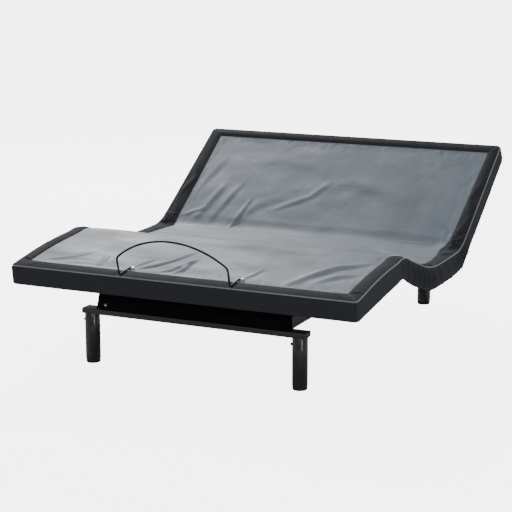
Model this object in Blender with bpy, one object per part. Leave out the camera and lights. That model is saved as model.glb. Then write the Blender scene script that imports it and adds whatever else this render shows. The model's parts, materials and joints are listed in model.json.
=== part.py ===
"""Adjustable bed base: a legged steel frame under four hinged, upholstered deck sections, and its drives.

Metres, +Z up. The foot end points to -Y and the head end to +Y, and the base stands on Z = 0.
"""

import math

import bmesh
import bpy
from mathutils import Matrix, Vector

# ---- driving dimensions, in metres and degrees ----

# deck sections, measured along the deck between the hinge axes. Y = 0 is the top edge of the foot end
WIDTH = 1.524
FOOT_LENGTH = 0.528
THIGH_LENGTH = 0.369
SEAT_LENGTH = 0.434
HEAD_LENGTH = 0.728

# how far each section is raised as the part is drawn, and at the end of its travel
THIGH_RAISED = 19.0
THIGH_TRAVEL = 39.0
FOOT_TILT = 6.9
HEAD_RAISED = 33.0
HEAD_TRAVEL = 63.0

# layers of a deck section
DECK_HEIGHT = 0.362
PAD_THICKNESS = 0.006
BOARD_THICKNESS = 0.016
BAND_HEIGHT = 0.0785
BAND_THICKNESS = 0.020
FIT_GAP = 0.0003
HINGE_GAP = 0.002

# flat bars under the deck, and the pins they turn on
BAR_HEIGHT = 0.025
BAR_THICKNESS = 0.012
BAR_CLEARANCE = 0.0005
PIN_RADIUS = 0.008
PIN_CLEARANCE = 0.0004
CROSS_TUBE_OFFSET = 0.070
CROSS_TUBE_DEPTH = 0.030
TUBE_WALL = 0.002
BAR_END_INSET = 0.090

# legged frame, whose rails hang this far under the deck and reach this far past the hip hinge
FRAME_HALF_WIDTH = 0.430
RAIL_WIDTH = 0.025
RAIL_HEIGHT = 0.050
RAIL_DROP = 0.126
FRAME_FOOT_INSET = 0.118
FRAME_PAST_HIP = 0.4887
SEAT_PLATE_THICKNESS = 0.006
SEAT_PLATE_OVERLAP = 0.040
SEAT_PLATE_RISE = 0.008
SEAT_CROSS_OFFSET = 0.050
APRON_RISE = 0.004
APRON_HEIGHT = 0.060
APRON_SLANT = 0.022
APRON_FLANGE = 0.026
APRON_WALL = 0.003

# legs
LEG_RADIUS = 0.0315
LEG_WALL = 0.003
LEG_HALF_SPACING = 0.470
LEG_FOOT_INSET = 0.034
LEG_HEAD_INSET = 0.122
GLIDE_RADIUS = 0.0300
GLIDE_HEIGHT = 0.015
GLIDE_PLUG_HEIGHT = 0.012
GLIDE_CHAMFER = 0.002
CROSSBAR_HALF_LENGTH = 0.503
CROSSBAR_DEPTH = 0.060
CROSSBAR_HEIGHT = 0.022

# drives: one bar stands before the seat hinge and one past the hip hinge, with pivots over the rails' bottom
DRIVE_X = 0.160
DRIVE_BAR_DEPTH = 0.040
DRIVE_BAR_HEIGHT = 0.025
DRIVE_BAR_BEFORE_SEAT = 0.1172
DRIVE_BAR_PAST_HIP = 0.1688
DRIVE_PIVOT_RISE = 0.0365
DRIVE_PIVOT_REACH = 0.060
EAR_WELD_INSET = 0.004
DRIVE_PIN_RADIUS = 0.006
HEAD_LEVER_RADIUS = 0.090
HEAD_LEVER_LEAN = 5.0
THIGH_LEVER_RADIUS = 0.100
THIGH_LEVER_LEAN = 0.0
LEVER_THICKNESS = 0.010
LEVER_EDGE = 0.009
SLOT_SIDE_CLEARANCE = 0.0020
SLOT_END_CLEARANCE = 0.0015
FORK_THICKNESS = 0.006
FORK_BLOCK = 0.014
FORK_ROOM = 0.005
FORK_SHARE = 0.8
NECK_SHARE = 0.7
OUTER_TUBE_RADIUS = 0.019
ROD_RADIUS = 0.010
ROD_CLEARANCE = 0.0005
ROD_ENGAGEMENT = 0.050
MOTOR_RADIUS = 0.033
MOTOR_LENGTH = 0.140
MOTOR_OFFSET = 0.062
GEARBOX_LENGTH = 0.070
GEARBOX_HEIGHT = 0.060
GEARBOX_WALL = 0.005

# links that steady the foot section
LINK_PIVOT_RISE = 0.039
LINK_REACH = 0.0760
LINK_DROP = 0.0350
LINK_THICKNESS = 0.008
LINK_HALF_HEIGHT = 0.011
LINK_PIN_RADIUS = 0.006
LINK_OPEN_CLEARANCE = 0.0026
LINK_EAR_SPREAD = 2.2

# mattress retainer bar
RETAINER_WIRE_RADIUS = 0.004
RETAINER_CENTRE_X = -0.010
RETAINER_HALF_WIDTH = 0.245
RETAINER_SHOULDER = 0.078
RETAINER_APEX = 0.170
RETAINER_LEAN = 15.0
RETAINER_LEG = 0.096
RETAINER_EDGE = 0.008
RETAINER_BEND = 0.009

# electrical boxes under the seat
BOX_CORNER_RADIUS = 0.004
CONTROL_BOX_SIZE = (0.110, 0.160, 0.038)
SUPPLY_BOX_SIZE = (0.070, 0.170, 0.040)
SUPPLY_BOX_X = 0.275

ROUND_SEGMENTS = 24
PIN_SEGMENTS = 16
CUT_PAST = 0.002

# ---- sizes that follow from them ----

PAD_BOTTOM = DECK_HEIGHT - PAD_THICKNESS + FIT_GAP
BOARD_TOP = DECK_HEIGHT - PAD_THICKNESS
BOARD_BOTTOM = BOARD_TOP - BOARD_THICKNESS
BAND_BOTTOM = DECK_HEIGHT - BAND_HEIGHT
BAR_TOP = BOARD_BOTTOM - FIT_GAP
AXIS_HEIGHT = BAR_TOP - BAR_HEIGHT / 2
BAND_INNER = WIDTH / 2 - BAND_THICKNESS

RAIL_INNER = FRAME_HALF_WIDTH - RAIL_WIDTH
PLATE_OUTER = RAIL_INNER - BAR_CLEARANCE
PLATE_INNER = PLATE_OUTER - SEAT_PLATE_THICKNESS
OUTER_BAR = (PLATE_INNER - BAR_CLEARANCE - BAR_THICKNESS, PLATE_INNER - BAR_CLEARANCE)
INNER_BAR = (OUTER_BAR[0] - BAR_CLEARANCE - BAR_THICKNESS, OUTER_BAR[0] - BAR_CLEARANCE)
LINK_X = (INNER_BAR[0] - BAR_CLEARANCE - LINK_THICKNESS, INNER_BAR[0] - BAR_CLEARANCE)

RAIL_BOTTOM = DECK_HEIGHT - RAIL_DROP
DRIVE_PIVOT_HEIGHT = RAIL_BOTTOM + DRIVE_PIVOT_RISE
LINK_PIVOT_HEIGHT = RAIL_BOTTOM + LINK_PIVOT_RISE
CROSSBAR_TOP = RAIL_BOTTOM - FIT_GAP
LEG_TOP = CROSSBAR_TOP - CROSSBAR_HEIGHT - FIT_GAP

KNEE_FOLD = THIGH_RAISED + FOOT_TILT
KNEE_TRAVEL = KNEE_FOLD * THIGH_TRAVEL / THIGH_RAISED


def turned(angle, y, z):
    """The point (y, z) turned about X by an angle in degrees, which lifts what lies towards +Y."""
    c, s = math.cos(math.radians(angle)), math.sin(math.radians(angle))
    return c * y - s * z, s * y + c * z


# places along the bed, before everything is centred
KNEE_FROM_SEAT = -turned(-THIGH_RAISED, -THIGH_LENGTH, 0)[0]
FOOT_FROM_KNEE = -turned(FOOT_TILT, -FOOT_LENGTH, DECK_HEIGHT - AXIS_HEIGHT)[0]
SEAT_AXIS_Y = KNEE_FROM_SEAT + FOOT_FROM_KNEE
HIP_AXIS_Y = SEAT_AXIS_Y + SEAT_LENGTH

FRAME_HEAD_END = HIP_AXIS_Y + FRAME_PAST_HIP
LEG_FOOT_Y = FRAME_FOOT_INSET + LEG_FOOT_INSET
LEG_HEAD_Y = FRAME_HEAD_END - LEG_HEAD_INSET
FRONT_DRIVE_BAR_Y = SEAT_AXIS_Y - DRIVE_BAR_BEFORE_SEAT
REAR_DRIVE_BAR_Y = HIP_AXIS_Y + DRIVE_BAR_PAST_HIP
BOX_CENTRE_Y = (SEAT_AXIS_Y + HIP_AXIS_Y) / 2

FARTHEST_HEAD = HIP_AXIS_Y + turned(HEAD_RAISED, HEAD_LENGTH, BAND_BOTTOM - AXIS_HEIGHT)[0]
ARCH_LEAN_OUT = RETAINER_APEX * math.sin(math.radians(RETAINER_LEAN))
FARTHEST_FOOT = RETAINER_EDGE - ARCH_LEAN_OUT - RETAINER_WIRE_RADIUS
CENTRE_Y = (FARTHEST_HEAD + FARTHEST_FOOT) / 2


# the levers that the actuators push, each with the hinge it turns about and its section's travel
HEAD_LEVER = {
    "axis_y": HIP_AXIS_Y,
    "radius": HEAD_LEVER_RADIUS,
    "lean": HEAD_LEVER_LEAN,
    "raised": HEAD_RAISED,
    "travel": HEAD_TRAVEL,
}
THIGH_LEVER = {
    "axis_y": SEAT_AXIS_Y,
    "radius": THIGH_LEVER_RADIUS,
    "lean": THIGH_LEVER_LEAN,
    "raised": THIGH_RAISED,
    "travel": THIGH_TRAVEL,
}


# ---- finishes ----


def finish(name, colour, roughness, metallic=0.0):
    """A Principled material with one colour, roughness and metallic value."""
    material = bpy.data.materials.new(name)
    material.use_nodes = True
    shader = material.node_tree.nodes["Principled BSDF"]
    shader.inputs["Base Color"].default_value = (*colour, 1)
    shader.inputs["Roughness"].default_value = roughness
    shader.inputs["Metallic"].default_value = metallic
    return material


FINISHES = {
    "frame_black": ((0.012, 0.012, 0.013), 0.50, 0.3),
    "leg_black": ((0.006, 0.006, 0.007), 0.18, 0.2),
    "glide_rubber": ((0.010, 0.010, 0.010), 0.75, 0.0),
    "board_wood": ((0.42, 0.30, 0.18), 0.70, 0.0),
    "upholstery": ((0.030, 0.032, 0.038), 0.90, 0.0),
    "grip_top": ((0.30, 0.33, 0.37), 0.55, 0.0),
    "wire_black": ((0.008, 0.008, 0.009), 0.30, 0.3),
    "drive_grey": ((0.045, 0.047, 0.050), 0.50, 0.0),
    "rod_steel": ((0.55, 0.56, 0.58), 0.28, 1.0),
    "box_black": ((0.015, 0.015, 0.016), 0.45, 0.0),
}


# ---- shapes ----


def place(name, mesh, slot, parent):
    """Puts a mesh in the scene as one piece, with a finish of its own, under the empty that it moves with."""
    colour, roughness, metallic = FINISHES[slot]
    mesh.materials.append(finish(f"{name}_finish", colour, roughness, metallic))
    piece = bpy.data.objects.new(name, mesh)
    bpy.context.scene.collection.objects.link(piece)
    piece.parent = parent
    return piece


def mesh_of(bm, name, smooth=False):
    """Closes a bmesh into a mesh whose faces point outwards."""
    bmesh.ops.remove_doubles(bm, verts=bm.verts, dist=1e-6)
    bmesh.ops.recalc_face_normals(bm, faces=bm.faces)
    mesh = bpy.data.meshes.new(name)
    bm.to_mesh(mesh)
    bm.free()
    if smooth:
        mesh.shade_smooth()
        mesh.set_sharp_from_angle(angle=math.radians(35))
    return mesh


def outlined(name, outline, x_span, smooth=False):
    """A plate: an outline of (y, z) points carried along X from one end of x_span to the other."""
    bm = bmesh.new()
    face = bm.faces.new([bm.verts.new((x_span[0], y, z)) for y, z in outline])
    made = bmesh.ops.extrude_face_region(bm, geom=[face])["geom"]
    moved = [item for item in made if isinstance(item, bmesh.types.BMVert)]
    bmesh.ops.translate(bm, verts=moved, vec=(x_span[1] - x_span[0], 0, 0))
    return mesh_of(bm, name, smooth)


def block(name, x_span, y_span, z_span):
    """A plain rectangular solid."""
    (y0, y1), (z0, z1) = y_span, z_span
    return outlined(name, [(y0, z0), (y1, z0), (y1, z1), (y0, z1)], x_span)


def rounded(piece, width, segments=2):
    """Rounds the long edges of a piece."""
    bevel = piece.modifiers.new("rounded_edges", "BEVEL")
    bevel.width = width
    bevel.segments = segments
    bevel.limit_method = "ANGLE"
    return piece


def arc(y, z, radius, start, end, steps):
    """Points of an arc about (y, z), from one angle to another in degrees, with 0 towards +Y and 90 up."""
    angles = [math.radians(start + (end - start) * i / steps) for i in range(steps + 1)]
    return [(y + radius * math.cos(a), z + radius * math.sin(a)) for a in angles]


def round_bar(name, radius, length, centre, axis, segments=PIN_SEGMENTS):
    """A cylinder about a centre, along "X", "Y" or "Z"."""
    quarter = math.pi / 2
    turn = {"X": Matrix.Rotation(quarter, 4, "Y"), "Y": Matrix.Rotation(quarter, 4, "X"), "Z": Matrix()}
    bm = bmesh.new()
    bmesh.ops.create_cone(
        bm,
        cap_ends=True,
        segments=segments,
        radius1=radius,
        radius2=radius,
        depth=length,
        matrix=Matrix.Translation(centre) @ turn[axis],
    )
    return mesh_of(bm, name, smooth=True)


def square_tube(name, width, height, length_span, centre, along_x=True):
    """A rectangular tube with open ends, along X or Y. centre is its middle across its run, and up."""
    corners = [(-1, -1), (1, -1), (1, 1), (-1, 1)]
    bm = bmesh.new()
    rings = []
    for end in length_span:
        for inset in (0, TUBE_WALL):
            ring = []
            for a, b in corners:
                across = centre[0] + a * (width / 2 - inset)
                up = centre[1] + b * (height / 2 - inset)
                ring.append(bm.verts.new((end, across, up) if along_x else (across, end, up)))
            rings.append(ring)
    outer_start, inner_start, outer_end, inner_end = rings
    for first, second in (
        (outer_start, outer_end),
        (inner_start, inner_end),
        (outer_start, inner_start),
        (outer_end, inner_end),
    ):
        for i in range(4):
            j = (i + 1) % 4
            bm.faces.new((first[i], first[j], second[j], second[i]))
    return mesh_of(bm, name)


def turned_profile(name, profile, centre, segments=ROUND_SEGMENTS):
    """A solid of revolution about a vertical axis, from (radius, z) points. Radius 0 lies on the axis."""
    bm = bmesh.new()
    verts = [bm.verts.new((r, 0, z)) for r, z in profile]
    edges = [bm.edges.new(pair) for pair in zip(verts, verts[1:])]
    bmesh.ops.spin(
        bm,
        geom=verts + edges,
        cent=(0, 0, 0),
        axis=(0, 0, 1),
        angle=2 * math.pi,
        steps=segments,
        use_merge=True,
    )
    bmesh.ops.translate(bm, verts=bm.verts, vec=centre)
    return mesh_of(bm, name, smooth=True)


def helper(name, mesh, parent):
    """A shape that only cuts or joins another, and isn't a piece itself."""
    tool = bpy.data.objects.new(name, mesh)
    bpy.context.scene.collection.objects.link(tool)
    tool.parent = parent
    tool.hide_render = True
    tool.display_type = "WIRE"
    return tool


def combine(piece, operation, meshes):
    """Cuts each mesh from a piece, or welds each onto it. operation is DIFFERENCE or UNION."""
    for mesh in meshes:
        boolean = piece.modifiers.new(mesh.name, "BOOLEAN")
        boolean.operation = operation
        boolean.solver = "EXACT"
        boolean.object = helper(mesh.name, mesh, piece.parent)
    return piece


def axis_empty(name, y, z, angle=0.0, parent=None, x=0.0):
    """An empty on a joint's axis, which its pieces are children of."""
    empty = bpy.data.objects.new(name, None)
    bpy.context.scene.collection.objects.link(empty)
    empty.parent = parent
    empty.location = (x, y, z)
    empty.rotation_euler = (math.radians(angle), 0, 0)
    return empty


def mirrored(span, side):
    """An X span on one side of the bed: side is -1 for left and 1 for right, as seen from the foot end."""
    return tuple(sorted(side * x for x in span))


SIDES = (("left", -1), ("right", 1))


# ---- legged frame ----


def build_frame(root):
    rail_z = RAIL_BOTTOM + RAIL_HEIGHT / 2
    rail_start = FRAME_FOOT_INSET + APRON_SLANT + APRON_FLANGE + FIT_GAP
    for side, sign in SIDES:
        tube = square_tube(
            f"side_rail_{side}",
            RAIL_WIDTH,
            RAIL_HEIGHT,
            (rail_start, FRAME_HEAD_END),
            (sign * (FRAME_HALF_WIDTH - RAIL_WIDTH / 2), rail_z),
            along_x=False,
        )
        place(f"side_rail_{side}", tube, "frame_black", root)

    # the apron closes the foot end: a folded sheet that leans back as it rises
    low = RAIL_BOTTOM + APRON_RISE
    high = low + APRON_HEIGHT
    face = FRAME_FOOT_INSET
    back = face + APRON_SLANT + APRON_FLANGE
    slope = APRON_SLANT / APRON_HEIGHT
    across = APRON_WALL * math.hypot(1, slope)
    apron = outlined(
        "foot_apron",
        [
            (face, low),
            (back, low),
            (back, low + APRON_WALL),
            (face + slope * APRON_WALL + across, low + APRON_WALL),
            (face + APRON_SLANT - slope * APRON_WALL + across, high - APRON_WALL),
            (back, high - APRON_WALL),
            (back, high),
            (face + APRON_SLANT, high),
        ],
        (-FRAME_HALF_WIDTH, FRAME_HALF_WIDTH),
    )
    place("foot_apron", apron, "frame_black", root)

    reach = RAIL_INNER - BAR_CLEARANCE
    end_tube = square_tube(
        "head_cross_member",
        RAIL_WIDTH,
        RAIL_HEIGHT,
        (-reach, reach),
        (FRAME_HEAD_END - RAIL_WIDTH / 2, rail_z),
    )
    place("head_cross_member", end_tube, "frame_black", root)


def clevis_outline(bar_y, pivot_y, direction):
    """Side view of an ear that reaches from a drive bar to a pivot."""
    low = RAIL_BOTTOM + EAR_WELD_INSET
    high = RAIL_BOTTOM + DRIVE_BAR_HEIGHT - EAR_WELD_INSET
    edge = DRIVE_PIN_RADIUS + LEVER_EDGE
    inner = bar_y - direction * DRIVE_BAR_DEPTH / 4
    end = arc(0, 0, edge, -90, 90, 6)
    nose = [(pivot_y + direction * y, DRIVE_PIVOT_HEIGHT + z) for y, z in end]
    return [(inner, low), (inner + direction * DRIVE_BAR_DEPTH / 2, low), *nose, (inner, high)]


def drive_bar(name, bar_y, direction, drive_side, root):
    """A cross tube with the two ears and the pin that an actuator's rear eye turns on."""
    reach = RAIL_INNER - BAR_CLEARANCE
    pivot_y = bar_y + direction * DRIVE_PIVOT_REACH
    middle = (bar_y, RAIL_BOTTOM + DRIVE_BAR_HEIGHT / 2)
    tube = square_tube(name, DRIVE_BAR_DEPTH, DRIVE_BAR_HEIGHT, (-reach, reach), middle)
    piece = place(name, tube, "frame_black", root)
    centre_x = drive_side * DRIVE_X
    outline = clevis_outline(bar_y, pivot_y, direction)
    eye_half = FORK_THICKNESS + LEVER_THICKNESS / 2 + FIT_GAP
    ears = [
        outlined(f"{name}_ear_{i}", outline, (centre_x + near, centre_x + near + FORK_THICKNESS))
        for i, near in enumerate((-eye_half - FORK_THICKNESS, eye_half))
    ]
    pin = round_bar(
        f"{name}_pin",
        DRIVE_PIN_RADIUS,
        2 * eye_half + FORK_THICKNESS,
        (centre_x, pivot_y, DRIVE_PIVOT_HEIGHT),
        "X",
    )
    return combine(piece, "UNION", [*ears, pin])


def build_drive_bars(root):
    drive_bar("rear_drive_bar", REAR_DRIVE_BAR_Y, -1, 1, root)
    front = drive_bar("front_drive_bar", FRONT_DRIVE_BAR_Y, 1, -1, root)
    ear_top = arc(FRONT_DRIVE_BAR_Y, LINK_PIVOT_HEIGHT, LINK_HALF_HEIGHT, 0, 180, 6)
    low = RAIL_BOTTOM + EAR_WELD_INSET
    ear_foot = [(FRONT_DRIVE_BAR_Y + y, low) for y in (-LINK_HALF_HEIGHT, LINK_HALF_HEIGHT)]
    outline = [*ear_foot, *ear_top]
    for side, sign in SIDES:
        inner = LINK_X[0] - BAR_CLEARANCE
        ear = outlined(f"link_ear_{side}", outline, mirrored((inner - LINK_THICKNESS, inner), sign))
        length = LINK_THICKNESS + BAR_CLEARANCE + LINK_THICKNESS / 2
        pin = round_bar(
            f"link_pivot_{side}",
            LINK_PIN_RADIUS,
            length,
            (sign * (LINK_X[1] - length / 2), FRONT_DRIVE_BAR_Y, LINK_PIVOT_HEIGHT),
            "X",
        )
        combine(front, "UNION", [ear, pin])


def build_legs(root):
    for end, leg_y in (("foot", LEG_FOOT_Y), ("head", LEG_HEAD_Y)):
        bar = square_tube(
            f"{end}_leg_crossbar",
            CROSSBAR_DEPTH,
            CROSSBAR_HEIGHT,
            (-CROSSBAR_HALF_LENGTH, CROSSBAR_HALF_LENGTH),
            (leg_y, CROSSBAR_TOP - CROSSBAR_HEIGHT / 2),
        )
        place(f"{end}_leg_crossbar", bar, "frame_black", root)
        for side, sign in SIDES:
            centre = (sign * LEG_HALF_SPACING, leg_y, 0)
            bottom = GLIDE_HEIGHT + FIT_GAP
            ceiling = LEG_TOP - LEG_WALL
            tube = turned_profile(
                f"{end}_leg_{side}",
                [
                    (0, LEG_TOP),
                    (LEG_RADIUS, LEG_TOP),
                    (LEG_RADIUS, bottom),
                    (LEG_RADIUS - LEG_WALL, bottom),
                    (LEG_RADIUS - LEG_WALL, ceiling),
                    (0, ceiling),
                ],
                centre,
            )
            place(f"{end}_leg_{side}", tube, "leg_black", root)
            plug = LEG_RADIUS - LEG_WALL - FIT_GAP
            glide = turned_profile(
                f"{end}_glide_{side}",
                [
                    (0, GLIDE_HEIGHT + GLIDE_PLUG_HEIGHT),
                    (plug, GLIDE_HEIGHT + GLIDE_PLUG_HEIGHT),
                    (plug, GLIDE_HEIGHT),
                    (GLIDE_RADIUS, GLIDE_HEIGHT),
                    (GLIDE_RADIUS, GLIDE_CHAMFER),
                    (GLIDE_RADIUS - GLIDE_CHAMFER, 0),
                    (0, 0),
                ],
                centre,
            )
            place(f"{end}_glide_{side}", glide, "glide_rubber", root)


# ---- deck sections ----


def end_cut(kind, fold):
    """How far back from a hinge axis a section's end stands, at the height z over the axis.

    A valley closes above its axis as it folds, and a crest closes below it.
    """
    slope = math.tan(math.radians(fold / 2))

    def back(z):
        closing = max(z, 0) if kind == "valley" else max(-z, 0)
        return HINGE_GAP + closing * slope

    return back


def plain_end(z):
    """The end of the deck, cut square."""
    return 0.0


def span_at(limits, back_low, back_high, z):
    """The Y span of a section at a height over its axis, between its two ends."""
    return limits[0] + back_low(z), limits[1] - back_high(z)


def narrowest(limits, back_low, back_high, z_span):
    """The Y span that clears both end cuts over a range of heights."""
    spans = [span_at(limits, back_low, back_high, z) for z in z_span]
    return max(s[0] for s in spans), min(s[1] for s in spans)


def deck_section(name, limits, back_low, back_high, parent, closed_end=None):
    """The board, side bands, end band and pad of one section, in the frame of its hinge axis."""
    drop = -AXIS_HEIGHT if parent.name != "frame_axis" else 0.0
    top, bottom = BOARD_TOP + drop, BOARD_BOTTOM + drop
    axis = AXIS_HEIGHT + drop

    def spans(z_span):
        return narrowest(limits, back_low, back_high, [z - axis for z in z_span])

    board_y = spans((bottom, top))
    inset = BAND_THICKNESS + FIT_GAP
    if closed_end == "low":
        board_y = (limits[0] + inset, board_y[1])
    if closed_end == "high":
        board_y = (board_y[0], limits[1] - inset)
    board_x = BAND_INNER - FIT_GAP
    board = block(f"{name}_deck_board", (-board_x, board_x), board_y, (bottom, top))
    place(f"{name}_deck_board", board, "board_wood", parent)

    low = BAND_BOTTOM + drop
    rows = [(z, *span_at(limits, back_low, back_high, z - axis)) for z in (low, axis, top)]
    outline = [(start, z) for z, start, _ in rows] + [(end, z) for z, _, end in reversed(rows)]
    for side, sign in SIDES:
        band = outlined(f"{name}_side_band_{side}", outline, mirrored((BAND_INNER, WIDTH / 2), sign))
        place(f"{name}_side_band_{side}", band, "upholstery", parent)
    if closed_end:
        near = limits[0] if closed_end == "low" else limits[1] - BAND_THICKNESS
        band = block(f"{name}_end_band", (-board_x, board_x), (near, near + BAND_THICKNESS), (low, top))
        place(f"{name}_end_band", band, "upholstery", parent)

    pad_z = (PAD_BOTTOM + drop, DECK_HEIGHT + drop)
    pad = block(f"{name}_pad", (-WIDTH / 2, WIDTH / 2), spans(pad_z), pad_z)
    place(f"{name}_pad", pad, "grip_top", parent)


def bar_outline(start, end, round_start, round_end):
    """Side view of a flat bar on its hinge axes, whose ends are rounded about the axes where they turn."""
    half = BAR_HEIGHT / 2
    left = arc(start, 0, half, 270, 90, 8) if round_start else [(start, -half), (start, half)]
    right = arc(end, 0, half, 90, -90, 8) if round_end else [(end, half), (end, -half)]
    return left + right


def bore(name, y, z, x_span, radius=PIN_RADIUS + PIN_CLEARANCE):
    """A cutter for a cross hole, longer than the wall it goes through."""
    centre = sum(x_span) / 2
    return round_bar(name, radius, abs(x_span[1] - x_span[0]) + 2 * CUT_PAST, (centre, y, z), "X")


def stub_pin(name, y, z, x_span, sign, radius=PIN_RADIUS):
    """A pin that stands inwards through the bar beside it, rooted half way into the piece that carries it."""
    low, high = mirrored(x_span, sign)
    return round_bar(name, radius, high - low, ((low + high) / 2, y, z), "X")


def cross_tube(name, y, half_length, parent, height=0.0):
    """A tube that joins the flat bars of one section."""
    tube = square_tube(name, CROSS_TUBE_DEPTH, BAR_HEIGHT, (-half_length, half_length), (y, height))
    return place(name, tube, "frame_black", parent)


def lever_pin_local(radius, lean, direction):
    """The actuator pin's place on a lever, in the section's frame. direction is where the section points."""
    lean = math.radians(lean)
    return Vector((0, -direction * radius * math.sin(lean), -radius * math.cos(lean)))


def slot_drift(lever):
    """How far along its slot the pin runs: a straight push leaves the lever's arc by this much at most."""
    swing = max(lever["raised"], lever["travel"] - lever["raised"])
    return lever["radius"] * (1 - math.cos(math.radians(swing)))


def add_lever(tube, lever, direction, centre_x):
    """Welds the slotted lever that an actuator pushes onto a section's cross tube."""
    pin = lever_pin_local(lever["radius"], lever["lean"], direction)
    drift = slot_drift(lever)
    outwards = pin.normalized()
    far = pin + outwards * drift
    edge = DRIVE_PIN_RADIUS + SLOT_END_CLEARANCE + LEVER_EDGE
    tube_y = direction * CROSS_TUBE_OFFSET
    half = CROSS_TUBE_DEPTH / 2 - TUBE_WALL
    nose = arc(far.y, far.z, edge, 180, 360, 10)
    outline = [*nose, (tube_y + half, 0), (tube_y - half, 0)]
    x_span = (centre_x - LEVER_THICKNESS / 2, centre_x + LEVER_THICKNESS / 2)
    combine(tube, "UNION", [outlined(f"{tube.name}_lever", outline, x_span)])

    # the slot runs along the line from the hinge axis to the pin, so that a straight push can follow the arc
    side = DRIVE_PIN_RADIUS + SLOT_SIDE_CLEARANCE
    lean = math.degrees(math.atan2(outwards.y, -outwards.z))
    near_end = arc(pin.y, pin.z, side, lean, lean + 180, 8)
    far_end = arc(far.y, far.z, side, lean + 180, lean + 360, 8)
    slot = near_end + far_end
    cutter = outlined(f"{tube.name}_slot", slot, (x_span[0] - CUT_PAST, x_span[1] + CUT_PAST))
    return combine(tube, "DIFFERENCE", [cutter])


def build_seat(root):
    plate_bottom = RAIL_BOTTOM + SEAT_PLATE_RISE
    overlap = BAR_HEIGHT / 2
    outline = [
        (SEAT_AXIS_Y + SEAT_PLATE_OVERLAP, plate_bottom),
        (HIP_AXIS_Y - SEAT_PLATE_OVERLAP, plate_bottom),
        *arc(HIP_AXIS_Y, AXIS_HEIGHT, overlap, -45, 90, 6),
        *arc(SEAT_AXIS_Y, AXIS_HEIGHT, overlap, 90, 225, 6),
    ]
    for side, sign in SIDES:
        plate = outlined(f"seat_side_plate_{side}", outline, mirrored((PLATE_INNER, PLATE_OUTER), sign))
        piece = place(f"seat_side_plate_{side}", plate, "frame_black", root)
        pin_x = (OUTER_BAR[0], PLATE_INNER + SEAT_PLATE_THICKNESS / 2)
        pins = [
            stub_pin(f"{label}_pin_{side}", y, AXIS_HEIGHT, pin_x, sign)
            for label, y in (("seat", SEAT_AXIS_Y), ("hip", HIP_AXIS_Y))
        ]
        combine(piece, "UNION", pins)

    reach = PLATE_INNER - BAR_CLEARANCE
    for label, y in (("front", SEAT_AXIS_Y + SEAT_CROSS_OFFSET), ("rear", HIP_AXIS_Y - SEAT_CROSS_OFFSET)):
        cross_tube(f"seat_cross_rail_{label}", y, reach, root, AXIS_HEIGHT)
    deck_section(
        "seat",
        (SEAT_AXIS_Y, HIP_AXIS_Y),
        end_cut("valley", THIGH_TRAVEL),
        end_cut("valley", HEAD_TRAVEL),
        root,
    )


def build_head(axis):
    bar_end = HEAD_LENGTH - BAR_END_INSET
    for side, sign in SIDES:
        x_span = mirrored(OUTER_BAR, sign)
        bar = outlined(f"head_frame_bar_{side}", bar_outline(0, bar_end, True, False), x_span)
        piece = place(f"head_frame_bar_{side}", bar, "frame_black", axis)
        combine(piece, "DIFFERENCE", [bore(f"hip_bore_{side}", 0, 0, x_span)])
    half_length = OUTER_BAR[0] - BAR_CLEARANCE
    tube = cross_tube("head_lever_tube", CROSS_TUBE_OFFSET, half_length, axis)
    add_lever(tube, HEAD_LEVER, 1, -DRIVE_X)
    cross_tube("head_end_tube", bar_end - CROSS_TUBE_DEPTH, half_length, axis)
    deck_section(
        "head",
        (0, HEAD_LENGTH),
        end_cut("valley", HEAD_TRAVEL),
        plain_end,
        axis,
        closed_end="high",
    )


def build_thigh(axis):
    for side, sign in SIDES:
        x_span = mirrored(OUTER_BAR, sign)
        bar = outlined(f"thigh_frame_bar_{side}", bar_outline(-THIGH_LENGTH, 0, True, True), x_span)
        piece = place(f"thigh_frame_bar_{side}", bar, "frame_black", axis)
        combine(piece, "DIFFERENCE", [bore(f"seat_bore_{side}", 0, 0, x_span)])
        pin_x = (INNER_BAR[0], OUTER_BAR[0] + BAR_THICKNESS / 2)
        combine(piece, "UNION", [stub_pin(f"knee_pin_{side}", -THIGH_LENGTH, 0, pin_x, sign)])
    tube = cross_tube("thigh_lever_tube", -CROSS_TUBE_OFFSET, OUTER_BAR[0] - BAR_CLEARANCE, axis)
    add_lever(tube, THIGH_LEVER, -1, DRIVE_X)
    deck_section(
        "thigh",
        (-THIGH_LENGTH, 0),
        end_cut("crest", KNEE_TRAVEL),
        end_cut("valley", THIGH_TRAVEL),
        axis,
    )


def build_foot(axis):
    bar_end = -(FOOT_LENGTH - BAR_END_INSET)
    link_y, link_z = -LINK_REACH, -LINK_DROP
    edge = LINK_HALF_HEIGHT
    half = BAR_HEIGHT / 2
    # the ear that hangs below the bar carries the pin of the link
    outline = [
        (bar_end, half),
        (bar_end, -half),
        (link_y - edge * LINK_EAR_SPREAD, -half),
        *arc(link_y, link_z, edge, 195, 345, 6),
        (link_y + edge * LINK_EAR_SPREAD, -half),
        *arc(0, 0, half, -90, 90, 8),
    ]
    for side, sign in SIDES:
        x_span = mirrored(INNER_BAR, sign)
        bar = outlined(f"foot_frame_bar_{side}", outline, x_span)
        piece = place(f"foot_frame_bar_{side}", bar, "frame_black", axis)
        combine(piece, "DIFFERENCE", [bore(f"knee_bore_{side}", 0, 0, x_span)])
        pin_x = (LINK_X[0], INNER_BAR[0] + BAR_THICKNESS / 2)
        combine(piece, "UNION", [stub_pin(f"link_pin_{side}", link_y, link_z, pin_x, sign, LINK_PIN_RADIUS)])
    cross_tube("foot_cross_tube", bar_end + CROSS_TUBE_DEPTH, INNER_BAR[0] - BAR_CLEARANCE, axis)
    deck_section(
        "foot",
        (-FOOT_LENGTH, 0),
        plain_end,
        end_cut("crest", KNEE_TRAVEL),
        axis,
        closed_end="low",
    )


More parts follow.
